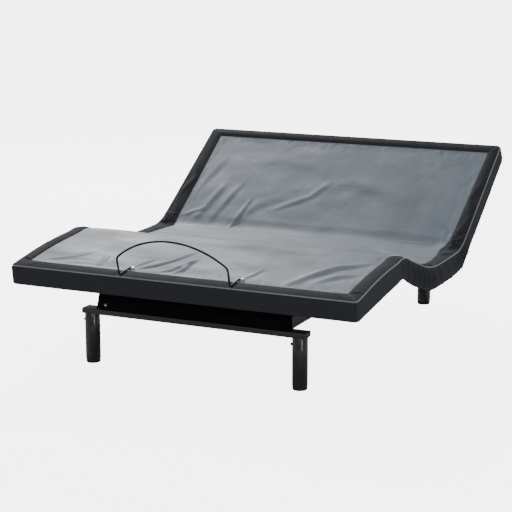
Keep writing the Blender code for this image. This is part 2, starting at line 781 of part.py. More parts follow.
def link_far_end():
    """Where the foot section's link pin stands along the bed and above the floor, as drawn."""
    knee_y = SEAT_AXIS_Y - KNEE_FROM_SEAT
    knee_z = AXIS_HEIGHT + turned(-THIGH_RAISED, -THIGH_LENGTH, 0)[1]
    y, z = turned(FOOT_TILT, -LINK_REACH, -LINK_DROP)
    return knee_y + y, knee_z + z


def build_links(root):
    far_y, far_z = link_far_end()
    run_y, run_z = FRONT_DRIVE_BAR_Y - far_y, LINK_PIVOT_HEIGHT - far_z
    length = math.hypot(run_y, run_z)
    slope = math.degrees(math.atan2(run_z, run_y))
    axis = axis_empty("foot_link_axis", FRONT_DRIVE_BAR_Y, LINK_PIVOT_HEIGHT, slope, root)
    outline = arc(-length, 0, LINK_HALF_HEIGHT, 270, 90, 8) + arc(0, 0, LINK_HALF_HEIGHT, 90, -90, 8)
    for side, sign in SIDES:
        x_span = mirrored(LINK_X, sign)
        link = place(f"foot_link_{side}", outlined(f"foot_link_{side}", outline, x_span), "frame_black", axis)
        near = bore(f"link_near_bore_{side}", 0, 0, x_span, LINK_PIN_RADIUS + PIN_CLEARANCE)
        far = bore(f"link_far_bore_{side}", -length, 0, x_span, LINK_PIN_RADIUS + LINK_OPEN_CLEARANCE)
        combine(link, "DIFFERENCE", [near, far])


# ---- mattress retainer ----


def build_retainer(axis):
    """A bent wire: two legs that lie on the deck, upright sides, and an arch between them."""
    lift = DECK_HEIGHT - AXIS_HEIGHT + RETAINER_WIRE_RADIUS + FIT_GAP
    start_y = -FOOT_LENGTH + RETAINER_EDGE
    lean = math.radians(RETAINER_LEAN - FOOT_TILT)
    rise = RETAINER_APEX - RETAINER_SHOULDER
    radius = (RETAINER_HALF_WIDTH**2 + rise**2) / (2 * rise)
    half_angle = math.asin(RETAINER_HALF_WIDTH / radius)

    def stood(x, height):
        return Vector((x, start_y - height * math.sin(lean), lift + height * math.cos(lean)))

    steps = 12
    crown = []
    for i in range(steps + 1):
        a = half_angle * (1 - 2 * i / steps)
        crown.append(stood(-radius * math.sin(a), RETAINER_APEX - radius * (1 - math.cos(a))))
    corners = [
        Vector((-RETAINER_HALF_WIDTH, start_y + RETAINER_LEG, lift)),
        stood(-RETAINER_HALF_WIDTH, 0),
        *crown,
        stood(RETAINER_HALF_WIDTH, 0),
        Vector((RETAINER_HALF_WIDTH, start_y + RETAINER_LEG, lift)),
    ]
    path = [corners[0]]
    sharp = {1, 2, len(corners) - 3, len(corners) - 2}
    for i in range(1, len(corners) - 1):
        here = corners[i]
        if i not in sharp:
            path.append(here)
            continue
        before = (corners[i - 1] - here).normalized() * RETAINER_BEND
        after = (corners[i + 1] - here).normalized() * RETAINER_BEND
        for t in (0.0, 0.25, 0.5, 0.75, 1.0):
            path.append(here + before * (1 - t) ** 2 + after * t**2)
    path.append(corners[-1])

    curve = bpy.data.curves.new("retainer_bar", "CURVE")
    curve.dimensions = "3D"
    curve.bevel_depth = RETAINER_WIRE_RADIUS
    curve.bevel_resolution = 2
    curve.use_fill_caps = True
    spline = curve.splines.new("POLY")
    spline.points.add(len(path) - 1)
    for point, place_on_path in zip(spline.points, path):
        point.co = (place_on_path.x + RETAINER_CENTRE_X, place_on_path.y, place_on_path.z, 1)
    place("retainer_bar", curve, "wire_black", axis)


# ---- drives and electrics ----


def fork_ear(name, length, back, edge, x_span):
    """One ear of a rod's fork, from its block to round the pin."""
    outline = [(length - back, -edge), *arc(length, 0, edge, -90, 90, 8), (length - back, edge)]
    return outlined(name, outline, x_span)


def rod_along(name, radius, start, end):
    """A round bar along an actuator's own axis."""
    return round_bar(name, radius, end - start, (0, (start + end) / 2, 0), "Y", ROUND_SEGMENTS)


def build_drive(name, bar_y, direction, side, lever, root):
    """An actuator between its bar and its lever: a body with a motor beside its tube, and a rod."""
    pin = lever_pin_local(lever["radius"], lever["lean"], direction)
    pin_y, pin_z = turned(direction * lever["raised"], pin.y, pin.z)
    pivot_y = bar_y + direction * DRIVE_PIVOT_REACH
    run_y, run_z = lever["axis_y"] + pin_y - pivot_y, AXIS_HEIGHT + pin_z - DRIVE_PIVOT_HEIGHT
    length = math.hypot(run_y, run_z)
    angle = math.degrees(math.atan2(run_z, abs(run_y)))
    axis = axis_empty(f"{name}_axis", pivot_y, DRIVE_PIVOT_HEIGHT, angle, root, x=side * DRIVE_X)
    axis.rotation_euler.z = 0 if direction > 0 else math.pi

    # along the actuator, from its rear pivot: eye, gearbox, tube, and the rod with its fork
    pull_in = math.radians(lever["raised"]) * lever["radius"]
    push_out = math.radians(lever["travel"] - lever["raised"]) * lever["radius"]
    fork_back = DRIVE_PIN_RADIUS + SLOT_END_CLEARANCE + LEVER_EDGE + slot_drift(lever) + FORK_ROOM
    block_back = fork_back + FORK_BLOCK
    tube_end = length - pull_in - block_back - FORK_ROOM
    eye_radius = DRIVE_PIN_RADIUS + LEVER_EDGE
    eye_half = FORK_THICKNESS + LEVER_THICKNESS / 2
    gearbox_start = eye_radius + FORK_ROOM
    gearbox_end = gearbox_start + GEARBOX_LENGTH
    rooted = FORK_BLOCK / 2

    tube = rod_along(f"{name}_tube", OUTER_TUBE_RADIUS, gearbox_end - rooted, tube_end)
    body = place(f"{name}_body", tube, "drive_grey", axis)
    # the motor lies beside the tube, towards the middle of the bed
    gearbox = block(
        f"{name}_gearbox",
        (-OUTER_TUBE_RADIUS - GEARBOX_WALL, MOTOR_OFFSET + MOTOR_RADIUS + GEARBOX_WALL),
        (gearbox_start, gearbox_end),
        (-GEARBOX_HEIGHT / 2, GEARBOX_HEIGHT / 2),
    )
    motor = rod_along(f"{name}_motor", MOTOR_RADIUS, gearbox_end - rooted, gearbox_end + MOTOR_LENGTH)
    motor.transform(Matrix.Translation((MOTOR_OFFSET, 0, 0)))
    neck_half = eye_radius * NECK_SHARE
    neck = block(f"{name}_neck", (-eye_half, eye_half), (0, gearbox_start + rooted), (-neck_half, neck_half))
    eye = round_bar(f"{name}_eye", eye_radius, 2 * eye_half, (0, 0, 0), "X")
    combine(body, "UNION", [gearbox, motor, neck, eye])

    rod_start = tube_end - push_out - ROD_ENGAGEMENT
    cavity_start = rod_start - pull_in - FORK_ROOM
    hole = bore(f"{name}_eye_bore", 0, 0, (-eye_half, eye_half), DRIVE_PIN_RADIUS + PIN_CLEARANCE)
    cavity = rod_along(f"{name}_cavity", ROD_RADIUS + ROD_CLEARANCE, cavity_start, tube_end + FORK_BLOCK)
    combine(body, "DIFFERENCE", [hole, cavity])

    shaft = rod_along(f"{name}_shaft", ROD_RADIUS, rod_start, length - fork_back - rooted)
    rod = place(f"{name}_rod", shaft, "rod_steel", axis)
    inner = LEVER_THICKNESS / 2 + BAR_CLEARANCE
    outer = inner + FORK_THICKNESS
    edge = eye_radius * FORK_SHARE
    fork_span = (length - block_back, length - fork_back)
    parts = [
        block(f"{name}_fork_block", (-outer, outer), fork_span, (-edge, edge)),
        fork_ear(f"{name}_fork_low", length, block_back, edge, (-outer, -inner)),
        fork_ear(f"{name}_fork_high", length, block_back, edge, (inner, outer)),
        round_bar(f"{name}_rod_pin", DRIVE_PIN_RADIUS, inner + outer, (0, length, 0), "X"),
    ]
    combine(rod, "UNION", parts)


def build_boxes(root):
    top = BOARD_BOTTOM - FIT_GAP
    for name, centre_x, size in (
        ("control_box", 0.0, CONTROL_BOX_SIZE),
        ("power_supply", SUPPLY_BOX_X, SUPPLY_BOX_SIZE),
    ):
        box = block(
            name,
            (centre_x - size[0] / 2, centre_x + size[0] / 2),
            (BOX_CENTRE_Y - size[1] / 2, BOX_CENTRE_Y + size[1] / 2),
            (top - size[2], top),
        )
        rounded(place(name, box, "box_black", root), BOX_CORNER_RADIUS)


def main():
    for old in list(bpy.data.objects):
        bpy.data.objects.remove(old, do_unlink=True)
    root = axis_empty("frame_axis", -CENTRE_Y, 0)
    thigh_axis = axis_empty("thigh_axis", SEAT_AXIS_Y, AXIS_HEIGHT, -THIGH_RAISED, root)
    foot_axis = axis_empty("knee_axis", -THIGH_LENGTH, 0, KNEE_FOLD, thigh_axis)
    head_axis = axis_empty("head_axis", HIP_AXIS_Y, AXIS_HEIGHT, HEAD_RAISED, root)
    build_frame(root)
    build_drive_bars(root)
    build_legs(root)
    build_seat(root)
    build_head(head_axis)
    build_thigh(thigh_axis)
    build_foot(foot_axis)
    build_links(root)
    build_retainer(foot_axis)
    build_drive("head_actuator", FRONT_DRIVE_BAR_Y, 1, -1, HEAD_LEVER, root)
    build_drive("foot_actuator", REAR_DRIVE_BAR_Y, -1, 1, THIGH_LEVER, root)
    build_boxes(root)


main()
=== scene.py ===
"""Looks of an adjustable bed base: cover, retainer bar, steelwork, drives and boxes round the CAD frame.

Metres, +Z up. The foot end points to -Y and the head end to +Y. The cover is drawn flat, as it would be cut
and sewn, and is then bent over the hinges of the deck, so that each part of it moves with the section
beneath it.
"""

import json
import logging
import math
from dataclasses import dataclass
from enum import Enum

import bmesh
import bpy
import numpy as np
from mathutils import Matrix, Vector, noise

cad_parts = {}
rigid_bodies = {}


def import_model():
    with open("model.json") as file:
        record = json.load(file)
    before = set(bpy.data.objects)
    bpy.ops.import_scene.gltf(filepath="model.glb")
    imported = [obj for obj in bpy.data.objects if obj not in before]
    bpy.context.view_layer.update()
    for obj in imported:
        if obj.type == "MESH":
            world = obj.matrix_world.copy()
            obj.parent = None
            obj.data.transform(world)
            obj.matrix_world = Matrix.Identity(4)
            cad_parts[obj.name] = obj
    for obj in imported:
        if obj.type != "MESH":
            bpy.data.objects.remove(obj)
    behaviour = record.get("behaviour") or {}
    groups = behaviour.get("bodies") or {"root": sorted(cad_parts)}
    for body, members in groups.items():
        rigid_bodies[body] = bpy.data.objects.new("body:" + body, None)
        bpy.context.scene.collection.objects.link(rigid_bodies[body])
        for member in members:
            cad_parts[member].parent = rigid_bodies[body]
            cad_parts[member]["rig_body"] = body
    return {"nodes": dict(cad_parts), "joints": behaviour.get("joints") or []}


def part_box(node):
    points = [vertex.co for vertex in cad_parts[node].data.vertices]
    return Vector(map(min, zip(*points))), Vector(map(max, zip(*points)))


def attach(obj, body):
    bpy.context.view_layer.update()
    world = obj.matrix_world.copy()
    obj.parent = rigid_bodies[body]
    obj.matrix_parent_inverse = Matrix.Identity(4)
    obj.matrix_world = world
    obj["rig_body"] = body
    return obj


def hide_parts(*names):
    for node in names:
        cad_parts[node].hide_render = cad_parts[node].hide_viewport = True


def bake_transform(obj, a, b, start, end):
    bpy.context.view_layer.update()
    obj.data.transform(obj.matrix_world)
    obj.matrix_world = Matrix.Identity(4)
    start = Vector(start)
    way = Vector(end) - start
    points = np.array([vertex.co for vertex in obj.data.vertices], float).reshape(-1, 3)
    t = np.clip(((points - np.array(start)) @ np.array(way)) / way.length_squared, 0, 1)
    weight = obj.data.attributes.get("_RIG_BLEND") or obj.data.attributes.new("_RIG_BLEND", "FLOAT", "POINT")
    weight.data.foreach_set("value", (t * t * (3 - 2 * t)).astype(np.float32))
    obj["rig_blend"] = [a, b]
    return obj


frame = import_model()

log = logging.getLogger("bed_base")

SIDES = (("left", -1), ("right", 1))
CLOTH_UV = "cloth"
Input = bpy.types.NodeSocket | float | tuple


# ---- finishes ----


class NodeSheet:
    """A material's nodes, added one by one from the left."""

    def __init__(self, name: str) -> None:
        """Starts a material with its shader and output.

        Args:
            name: the material's name.
        """
        self.material = bpy.data.materials.new(name)
        self.material.use_nodes = True
        self.tree = self.material.node_tree
        self.shader = self.tree.nodes["Principled BSDF"]

    def add(self, kind: str, settings: dict | None = None, **inputs: Input) -> bpy.types.Node:
        """Adds a node and fills its inputs.

        Args:
            kind: Blender's name of the node type.
            settings: properties of the node itself.
            inputs: a value or another node's output for each input. _ stands for a space in its name, and
                i0, i1 and so on give its place where several inputs share one name.

        Returns:
            The node.
        """
        node = self.tree.nodes.new(kind)
        for key, value in (settings or {}).items():
            setattr(node, key, value)
        for key, value in inputs.items():
            numbered = key[0] == "i" and key[1:].isdigit()
            socket = node.inputs[int(key[1:]) if numbered else key.replace("_", " ")]
            self.feed(socket, value)
        return node

    def feed(self, socket: bpy.types.NodeSocket, value: Input) -> None:
        """Links an output to a socket, or sets the socket's value."""
        if isinstance(value, bpy.types.NodeSocket):
            self.tree.links.new(value, socket)
        else:
            socket.default_value = value

    def place(self, scale: tuple[float, float, float] = (1, 1, 1), uv: bool = False) -> bpy.types.NodeSocket:
        """The coordinates that a pattern reads, scaled.

        Args:
            scale: how many repeats there are in a metre, along each direction.
            uv: True for the piece's own cloth map, False for Object coordinates.

        Returns:
            The scaled coordinates.
        """
        if uv:
            source = self.add("ShaderNodeUVMap", {"uv_map": CLOTH_UV}).outputs["UV"]
        else:
            source = self.add("ShaderNodeTexCoord").outputs["Object"]
        return self.add("ShaderNodeMapping", Vector=source, Scale=scale).outputs["Vector"]

    def noise(
        self, vector: Input, scale: float, detail: float = 3.0, roughness: float = 0.55
    ) -> bpy.types.NodeSocket:
        """Soft noise from 0 to 1."""
        node = self.add("ShaderNodeTexNoise", Vector=vector, Scale=scale, Detail=detail, Roughness=roughness)
        return node.outputs["Fac"]

    def graded(
        self, value: Input, low: float, high: float, to_low: float = 0.0, to_high: float = 1.0
    ) -> bpy.types.NodeSocket:
        """A value carried from one range to another, and held at its ends."""
        node = self.add(
            "ShaderNodeMapRange",
            {"clamp": True},
            Value=value,
            From_Min=low,
            From_Max=high,
            To_Min=to_low,
            To_Max=to_high,
        )
        return node.outputs["Result"]

    def sum(self, first: Input, second: Input, weight: float = 1.0) -> bpy.types.NodeSocket:
        """first + weight * second."""
        node = self.add("ShaderNodeMath", {"operation": "MULTIPLY_ADD"}, i0=second, i1=weight, i2=first)
        return node.outputs[0]

    def product(self, first: Input, second: Input) -> bpy.types.NodeSocket:
        """One value times another."""
        return self.add("ShaderNodeMath", {"operation": "MULTIPLY"}, i0=first, i1=second).outputs[0]

    def tinted(self, value: Input, dark: tuple, light: tuple) -> bpy.types.NodeSocket:
        """A colour between two, by a value from 0 to 1."""
        ramp = self.add("ShaderNodeValToRGB", Fac=value)
        ramp.color_ramp.elements[0].color = (*dark, 1)
        ramp.color_ramp.elements[1].color = (*light, 1)
        return ramp.outputs["Color"]

    def bump(self, height: Input, depth: float, strength: float = 1.0) -> None:
        """Gives the shader a relief of a depth in metres."""
        node = self.add("ShaderNodeBump", Height=height, Distance=depth, Strength=strength)
        self.feed(self.shader.inputs["Normal"], node.outputs["Normal"])

    def finish(self, colour: Input, roughness: Input, **constants: float) -> bpy.types.Material:
        """Sets the shader and gives the material.

        Args:
            colour: the base colour, or an output that makes it.
            roughness: the roughness, or an output that makes it.
            constants: values for the shader's other inputs, with _ for a space.

        Returns:
            The finished material.
        """
        self.feed(self.shader.inputs["Base Color"], colour)
        self.feed(self.shader.inputs["Roughness"], roughness)
        for key, value in constants.items():
            self.shader.inputs[key.replace("_", " ")].default_value = value
        return self.material


def shaded(colour: tuple, share: float) -> tuple:
    """A colour made darker or lighter by a share."""
    return tuple(c * share for c in colour)


@dataclass(frozen=True)
class WovenCloth:
    """Plain-woven upholstery cloth, which follows its own cloth map."""

    name: str
    colour: tuple[float, float, float]
    thread: float = 0.0011
    roughness: float = 0.86
    sheen: float = 0.12
    specular: float = 0.5

    def material(self) -> bpy.types.Material:
        """Warp over weft, with slubs, dusty patches and a soft sheen."""
        sheet = NodeSheet(self.name)
        per_metre = 1 / self.thread
        weave = []
        for direction in ("X", "Y"):
            wave = sheet.add(
                "ShaderNodeTexWave",
                {"bands_direction": direction, "wave_profile": "SIN"},
                Vector=sheet.place((per_metre, per_metre, per_metre), uv=True),
                Scale=0.32,
                Distortion=0.6,
                Detail=1.0,
            )
            weave.append(wave.outputs["Fac"])
        threads = sheet.product(weave[0], weave[1])
        slubs = sheet.noise(sheet.place((260, 1400, 1), uv=True), 1.0, 2.0)
        patches = sheet.noise(sheet.place(uv=True), 9.0, 4.0)
        tone = sheet.sum(sheet.sum(sheet.product(threads, 0.35), slubs, 0.35), patches, 0.45)
        colour = sheet.tinted(
            sheet.graded(tone, 0.25, 0.85), shaded(self.colour, 0.72), shaded(self.colour, 1.34)
        )
        relief = sheet.sum(threads, slubs, 0.6)
        sheet.bump(relief, 0.0004, 0.55)
        roughness = sheet.graded(patches, 0.3, 0.7, self.roughness - 0.06, self.roughness + 0.06)
        return sheet.finish(
            colour, roughness, Sheen_Weight=self.sheen, Sheen_Roughness=0.5, Specular_IOR_Level=self.specular
        )


@dataclass(frozen=True)
class GripCloth:
    """Non-woven cloth with small pressed dots that keep a mattress from sliding."""

    name: str
    colour: tuple[float, float, float]
    dot_pitch: float = 0.0035
    roughness: float = 0.56

    def material(self) -> bpy.types.Material:
        """Pressed dots over matted fibres, with the roughness varied in rubbed patches."""
        sheet = NodeSheet(self.name)
        per_metre = 1 / self.dot_pitch
        dots = sheet.add(
            "ShaderNodeTexVoronoi",
            {"voronoi_dimensions": "2D", "feature": "F1"},
            Vector=sheet.place((per_metre, per_metre, 1), uv=True),
            Scale=1.0,
            Randomness=0.12,
        )
        pressed = sheet.graded(dots.outputs["Distance"], 0.12, 0.36)
        fibres = sheet.noise(sheet.place((900, 380, 1), uv=True), 1.0, 4.0, 0.7)
        clouds = sheet.noise(sheet.place(uv=True), 5.5, 5.0, 0.6)
        rubbed = sheet.noise(sheet.place((1.0, 2.6, 1), uv=True), 3.1, 3.0)
        tone = sheet.sum(sheet.sum(sheet.product(clouds, 0.75), fibres, 0.25), pressed, 0.12)
        colour = sheet.tinted(
            sheet.graded(tone, 0.35, 0.80), shaded(self.colour, 0.82), shaded(self.colour, 1.16)
        )
        creased = sheet.noise(sheet.place((1, 1, 1), uv=True), 26.0, 5.0, 0.62)
        relief = sheet.sum(sheet.sum(sheet.product(pressed, 0.25), fibres, 0.18), creased, 1.6)
        sheet.bump(relief, 0.0016, 0.5)
        roughness = sheet.graded(rubbed, 0.35, 0.7, self.roughness - 0.07, self.roughness + 0.10)
        return sheet.finish(colour, roughness, Sheen_Weight=0.1, Specular_IOR_Level=0.35)


@dataclass(frozen=True)
class Enamel:
    """Sprayed or powder-coated steel."""

    name: str
    colour: tuple[float, float, float]
    roughness: float
    grain: float = 900.0
    depth: float = 0.00010
    coat: float = 0.0
    specular: float = 0.5

    def material(self) -> bpy.types.Material:
        """A fine orange-peel skin with handling marks."""
        sheet = NodeSheet(self.name)
        peel = sheet.noise(sheet.place(), self.grain, 2.0)
        marks = sheet.noise(sheet.place((1, 1, 3)), 14.0, 6.0, 0.7)
        colour = sheet.tinted(marks, shaded(self.colour, 0.8), shaded(self.colour, 1.35))
        sheet.bump(peel, self.depth, 0.5)
        roughness = sheet.graded(marks, 0.3, 0.75, self.roughness - 0.05, self.roughness + 0.10)
        return sheet.finish(
            colour, roughness, Coat_Weight=self.coat, Coat_Roughness=0.06, Specular_IOR_Level=self.specular
        )


@dataclass(frozen=True)
class BareSteel:
    """Zinc-plated or ground steel with fine drawn lines."""

    name: str
    colour: tuple[float, float, float]
    roughness: float
    stretch: tuple[float, float, float] = (40.0, 900.0, 900.0)

    def material(self) -> bpy.types.Material:
        """Lines along one direction, over a mottled plating."""
        sheet = NodeSheet(self.name)
        lines = sheet.noise(sheet.place(self.stretch), 1.0, 3.0)
        mottle = sheet.noise(sheet.place(), 55.0, 4.0)
        colour = sheet.tinted(mottle, shaded(self.colour, 0.78), shaded(self.colour, 1.12))
        sheet.bump(lines, 0.00005, 0.5)
        roughness = sheet.graded(lines, 0.3, 0.7, self.roughness - 0.06, self.roughness + 0.10)
        return sheet.finish(colour, roughness, Metallic=1.0)


@dataclass(frozen=True)
class MouldedPlastic:
    """Spark-textured plastic or rubber."""

    name: str
    colour: tuple[float, float, float]
    roughness: float
    grain: float = 1500.0
    depth: float = 0.00018

    def material(self) -> bpy.types.Material:
        """A fine stipple with slightly rubbed patches."""
        sheet = NodeSheet(self.name)
        cells = sheet.add("ShaderNodeTexVoronoi", Vector=sheet.place(), Scale=self.grain)
        stipple = cells.outputs["Distance"]
        rubbed = sheet.noise(sheet.place(), 18.0, 4.0)
        colour = sheet.tinted(rubbed, shaded(self.colour, 0.85), shaded(self.colour, 1.25))
        sheet.bump(stipple, self.depth, 0.45)
        roughness = sheet.graded(rubbed, 0.3, 0.7, self.roughness - 0.05, self.roughness + 0.08)
        return sheet.finish(colour, roughness)


@dataclass(frozen=True)
class Plywood:
    """Raw plywood with long grain and a few knots."""

    name: str
    colour: tuple[float, float, float]
    roughness: float = 0.72

    def material(self) -> bpy.types.Material:
        """Grain along X, with rings round soft knots."""
        sheet = NodeSheet(self.name)
        warp = sheet.noise(sheet.place((0.8, 3.0, 3.0)), 1.6, 4.0)
        grain = sheet.add(
            "ShaderNodeTexWave",
            {"bands_direction": "Y", "wave_profile": "SAW"},
            Vector=sheet.place((0.35, 6.0, 6.0)),
            Scale=2.2,
            Distortion=7.0,
            Detail=3.0,
            Detail_Scale=1.4,
        ).outputs["Fac"]
        pores = sheet.noise(sheet.place((30, 900, 900)), 1.0, 2.0)
        tone = sheet.sum(sheet.sum(sheet.product(grain, 0.45), warp, 0.4), pores, 0.25)
        share = sheet.graded(tone, 0.2, 0.9)
        colour = sheet.tinted(share, shaded(self.colour, 0.66), shaded(self.colour, 1.12))
        sheet.bump(pores, 0.0002, 0.5)
        return sheet.finish(colour, self.roughness)


class Cloths(Enum):
    """The cloths of the cover."""

    CHARCOAL = WovenCloth("charcoal_weave", (0.0280, 0.0295, 0.0350), sheen=0.03, specular=0.22)
    LINING = WovenCloth("lining_weave", (0.016, 0.0165, 0.018), thread=0.0014, sheen=0.05)
    PIPING = WovenCloth("piping_weave", (0.235, 0.241, 0.255), thread=0.0008, sheen=0.2)
    THREAD = WovenCloth("seam_thread", (0.120, 0.125, 0.135), thread=0.0006)
    GRIP = GripCloth("grip_cloth", (0.182, 0.212, 0.247))


class Metals(Enum):
    """The metal finishes. The crossbars' enamel is a paler copy of the frame's, as painted light, and the
    apron's a near-black copy, as painted shade.
    """

    FRAME = Enamel("frame_enamel", (0.0130, 0.0132, 0.0142), 0.46, depth=0.00018)
    # A paler, glossier copy of the frame enamel: its paleness is painted light on the crossbars.
    CROSSBAR = Enamel("crossbar_enamel", (0.0200, 0.0202, 0.0212), 0.36, depth=0.00014)
    # A near-black copy of the frame enamel: its extra darkness is painted shade on the apron.
    APRON = Enamel("apron_enamel", (0.0008, 0.0008, 0.0009), 0.80, depth=0.00018, specular=0.12)
    LEG = Enamel("leg_enamel", (0.0045, 0.0045, 0.0050), 0.17, grain=300.0, depth=0.00004, coat=0.6)
    WIRE = Enamel("wire_enamel", (0.0030, 0.0031, 0.0036), 0.46, depth=0.00006, specular=0.3)
    ZINC = BareSteel("zinc_plate", (0.72, 0.73, 0.74), 0.24, (300.0, 300.0, 300.0))
    ROD = BareSteel("rod_steel", (0.60, 0.61, 0.63), 0.22)


class Plastics(Enum):
    """The plastics, rubber and boards."""

    DRIVE = MouldedPlastic("drive_housing", (0.040, 0.042, 0.045), 0.46)
    BOX = MouldedPlastic("box_plastic", (0.018, 0.018, 0.019), 0.42)
    RUBBER = MouldedPlastic("glide_rubber", (0.012, 0.012, 0.012), 0.74, grain=2400.0)
    KNOB = MouldedPlastic("knob_plastic", (0.010, 0.010, 0.011), 0.36)
    BOARD = Plywood("deck_plywood", (0.50, 0.345, 0.205))


class FinishStore:
    """Makes each finish once and hands out its material."""

    def __init__(self) -> None:
        """Starts with no finish made."""
        self._made: dict[str, bpy.types.Material] = {}

    def of(self, finish: Enum) -> bpy.types.Material:
        """The material of a finish, made when it is first asked for."""
        if finish.value.name not in self._made:
            self._made[finish.value.name] = finish.value.material()
        return self._made[finish.value.name]


FINISHES = FinishStore()


# ---- mesh helpers ----


def smoothstep(t: np.ndarray) -> np.ndarray:
    """0 below 0, 1 above 1, and a smooth rise between."""
    t = np.clip(t, 0.0, 1.0)
    return t * t * (3 - 2 * t)


def link(name: str, mesh: bpy.types.Mesh, finish: Enum) -> bpy.types.Object:
    """Puts a mesh in the scene as one piece.

    Args:
        name: the piece's name.
        mesh: its mesh, in place.
        finish: its finish.

    Returns:
        The piece.
    """
    mesh.materials.clear()
    mesh.materials.append(FINISHES.of(finish))
    piece = bpy.data.objects.new(name, mesh)
    bpy.context.scene.collection.objects.link(piece)
    return piece


def evaluated(piece: bpy.types.Object) -> bpy.types.Object:
    """Turns a piece's modifiers into its mesh."""
    graph = bpy.context.evaluated_depsgraph_get()
    mesh = bpy.data.meshes.new_from_object(piece.evaluated_get(graph), depsgraph=graph)
    piece.modifiers.clear()
    old, piece.data = piece.data, mesh
    mesh.name = piece.name
    bpy.data.meshes.remove(old)
    return piece


def soften(mesh: bpy.types.Mesh, angle: float = 32.0) -> None:
    """Shades a mesh smooth, with sharp edges past an angle in degrees."""
    mesh.shade_smooth()
    mesh.set_sharp_from_angle(angle=math.radians(angle))


def grid_mesh(name: str, points: np.ndarray, uv: np.ndarray) -> bpy.types.Mesh:
    """A sheet from a grid of points.

    Args:
        name: the mesh's name.
        points: rows by columns by 3, in place. Faces look to the side where rows x columns turn
            anticlockwise.
        uv: rows by columns by 2, in metres on the flat cloth.

    Returns:
        The mesh, shaded smooth.
    """
    rows, columns = points.shape[:2]
    index = np.arange(rows * columns).reshape(rows, columns)
    quads = np.stack([index[:-1, :-1], index[1:, :-1], index[1:, 1:], index[:-1, 1:]], axis=-1).reshape(-1, 4)
    mesh = bpy.data.meshes.new(name)
    mesh.from_pydata(points.reshape(-1, 3).tolist(), [], quads.tolist())
    layer = mesh.uv_layers.new(name=CLOTH_UV)
    loops = np.empty(len(mesh.loops), np.int32)
    mesh.loops.foreach_get("vertex_index", loops)
    layer.data.foreach_set("uv", uv.reshape(-1, 2)[loops].astype(np.float32).ravel())
    mesh.shade_smooth()
    return mesh


def merged(mesh: bpy.types.Mesh, distance: float = 1e-5) -> None:
    """Joins a mesh's doubled points and turns its faces outwards."""
    bm = bmesh.new()
    bm.from_mesh(mesh)
    bmesh.ops.remove_doubles(bm, verts=bm.verts, dist=distance)
    bmesh.ops.recalc_face_normals(bm, faces=bm.faces)
    bm.to_mesh(mesh)
    bm.free()


def thickened(piece: bpy.types.Object, thickness: float) -> bpy.types.Object:
    """Gives a sheet a wall, on the side away from its faces."""
    wall = piece.modifiers.new("wall", "SOLIDIFY")
    wall.thickness = thickness
    wall.offset = -1.0
    wall.use_even_offset = False
    return evaluated(piece)


def lathed(name: str, profile: list[tuple[float, float]], segments: int = 64) -> bpy.types.Mesh:
    """A turned shape about Z.

    Args:
        name: the mesh's name.
        profile: (radius, z) points from the top of the axis, down the outside, to the bottom of the axis.
        segments: how many facets there are round it.

    Returns:
        The mesh, closed and shaded smooth.
    """
    bm = bmesh.new()
    verts = [bm.verts.new((r, 0, z)) for r, z in profile]
    edges = [bm.edges.new(pair) for pair in zip(verts, verts[1:])]
    bmesh.ops.spin(
        bm,
        geom=verts + edges,
        cent=(0, 0, 0),
        axis=(0, 0, 1),
        angle=2 * math.pi,
        steps=segments,
        use_merge=True,
    )
    mesh = bpy.data.meshes.new(name)
    bm.to_mesh(mesh)
    bm.free()
    merged(mesh)
    soften(mesh)
    return mesh


def tube_mesh(
    name: str, path: np.ndarray, radius: float, sides: int = 12, capped: bool = True
) -> bpy.types.Mesh:
    """A round tube along a path, with its own cloth map.

    Args:
        name: the mesh's name.
        path: points along it, in place.
        radius: its radius.
        sides: how many facets there are round it.
        capped: whether its ends are closed.

    Returns:
        The mesh.
    """
    tangents = np.gradient(path, axis=0)
    tangents /= np.linalg.norm(tangents, axis=1)[:, None]
    normal = np.cross(tangents[0], (0.0, 0.0, 1.0))
    if np.linalg.norm(normal) < 0.1:
        normal = np.cross(tangents[0], (1.0, 0.0, 0.0))
    run = np.concatenate([[0], np.cumsum(np.linalg.norm(np.diff(path, axis=0), axis=1))])
    turns = np.linspace(0, 2 * math.pi, sides + 1)
    points, uv = [], []
    for here, tangent, along in zip(path, tangents, run):
        normal = normal - tangent * (normal @ tangent)
        normal /= np.linalg.norm(normal)
        across = np.cross(tangent, normal)
        points.append([here + radius * (math.cos(a) * normal + math.sin(a) * across) for a in turns])
        uv.append([(radius * a, along) for a in turns])
    mesh = grid_mesh(name, np.array(points), np.array(uv))
    bm = bmesh.new()
    bm.from_mesh(mesh)
    bmesh.ops.remove_doubles(bm, verts=bm.verts, dist=radius * 0.01)
    if capped:
        bmesh.ops.holes_fill(bm, edges=[edge for edge in bm.edges if edge.is_boundary], sides=sides)
    bmesh.ops.recalc_face_normals(bm, faces=bm.faces)
    bm.to_mesh(mesh)
    bm.free()
    mesh.shade_smooth()
    return mesh


def ride(piece: bpy.types.Object, body: str, slot: str, *replaced: str) -> bpy.types.Object:
    """Puts a piece on its body, and hides the CAD nodes it stands for."""
    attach(piece, body)
    if replaced:
        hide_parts(*replaced)
    log.info("%s rides on %s", piece.name, body)
    return piece


# ---- what repeats ----


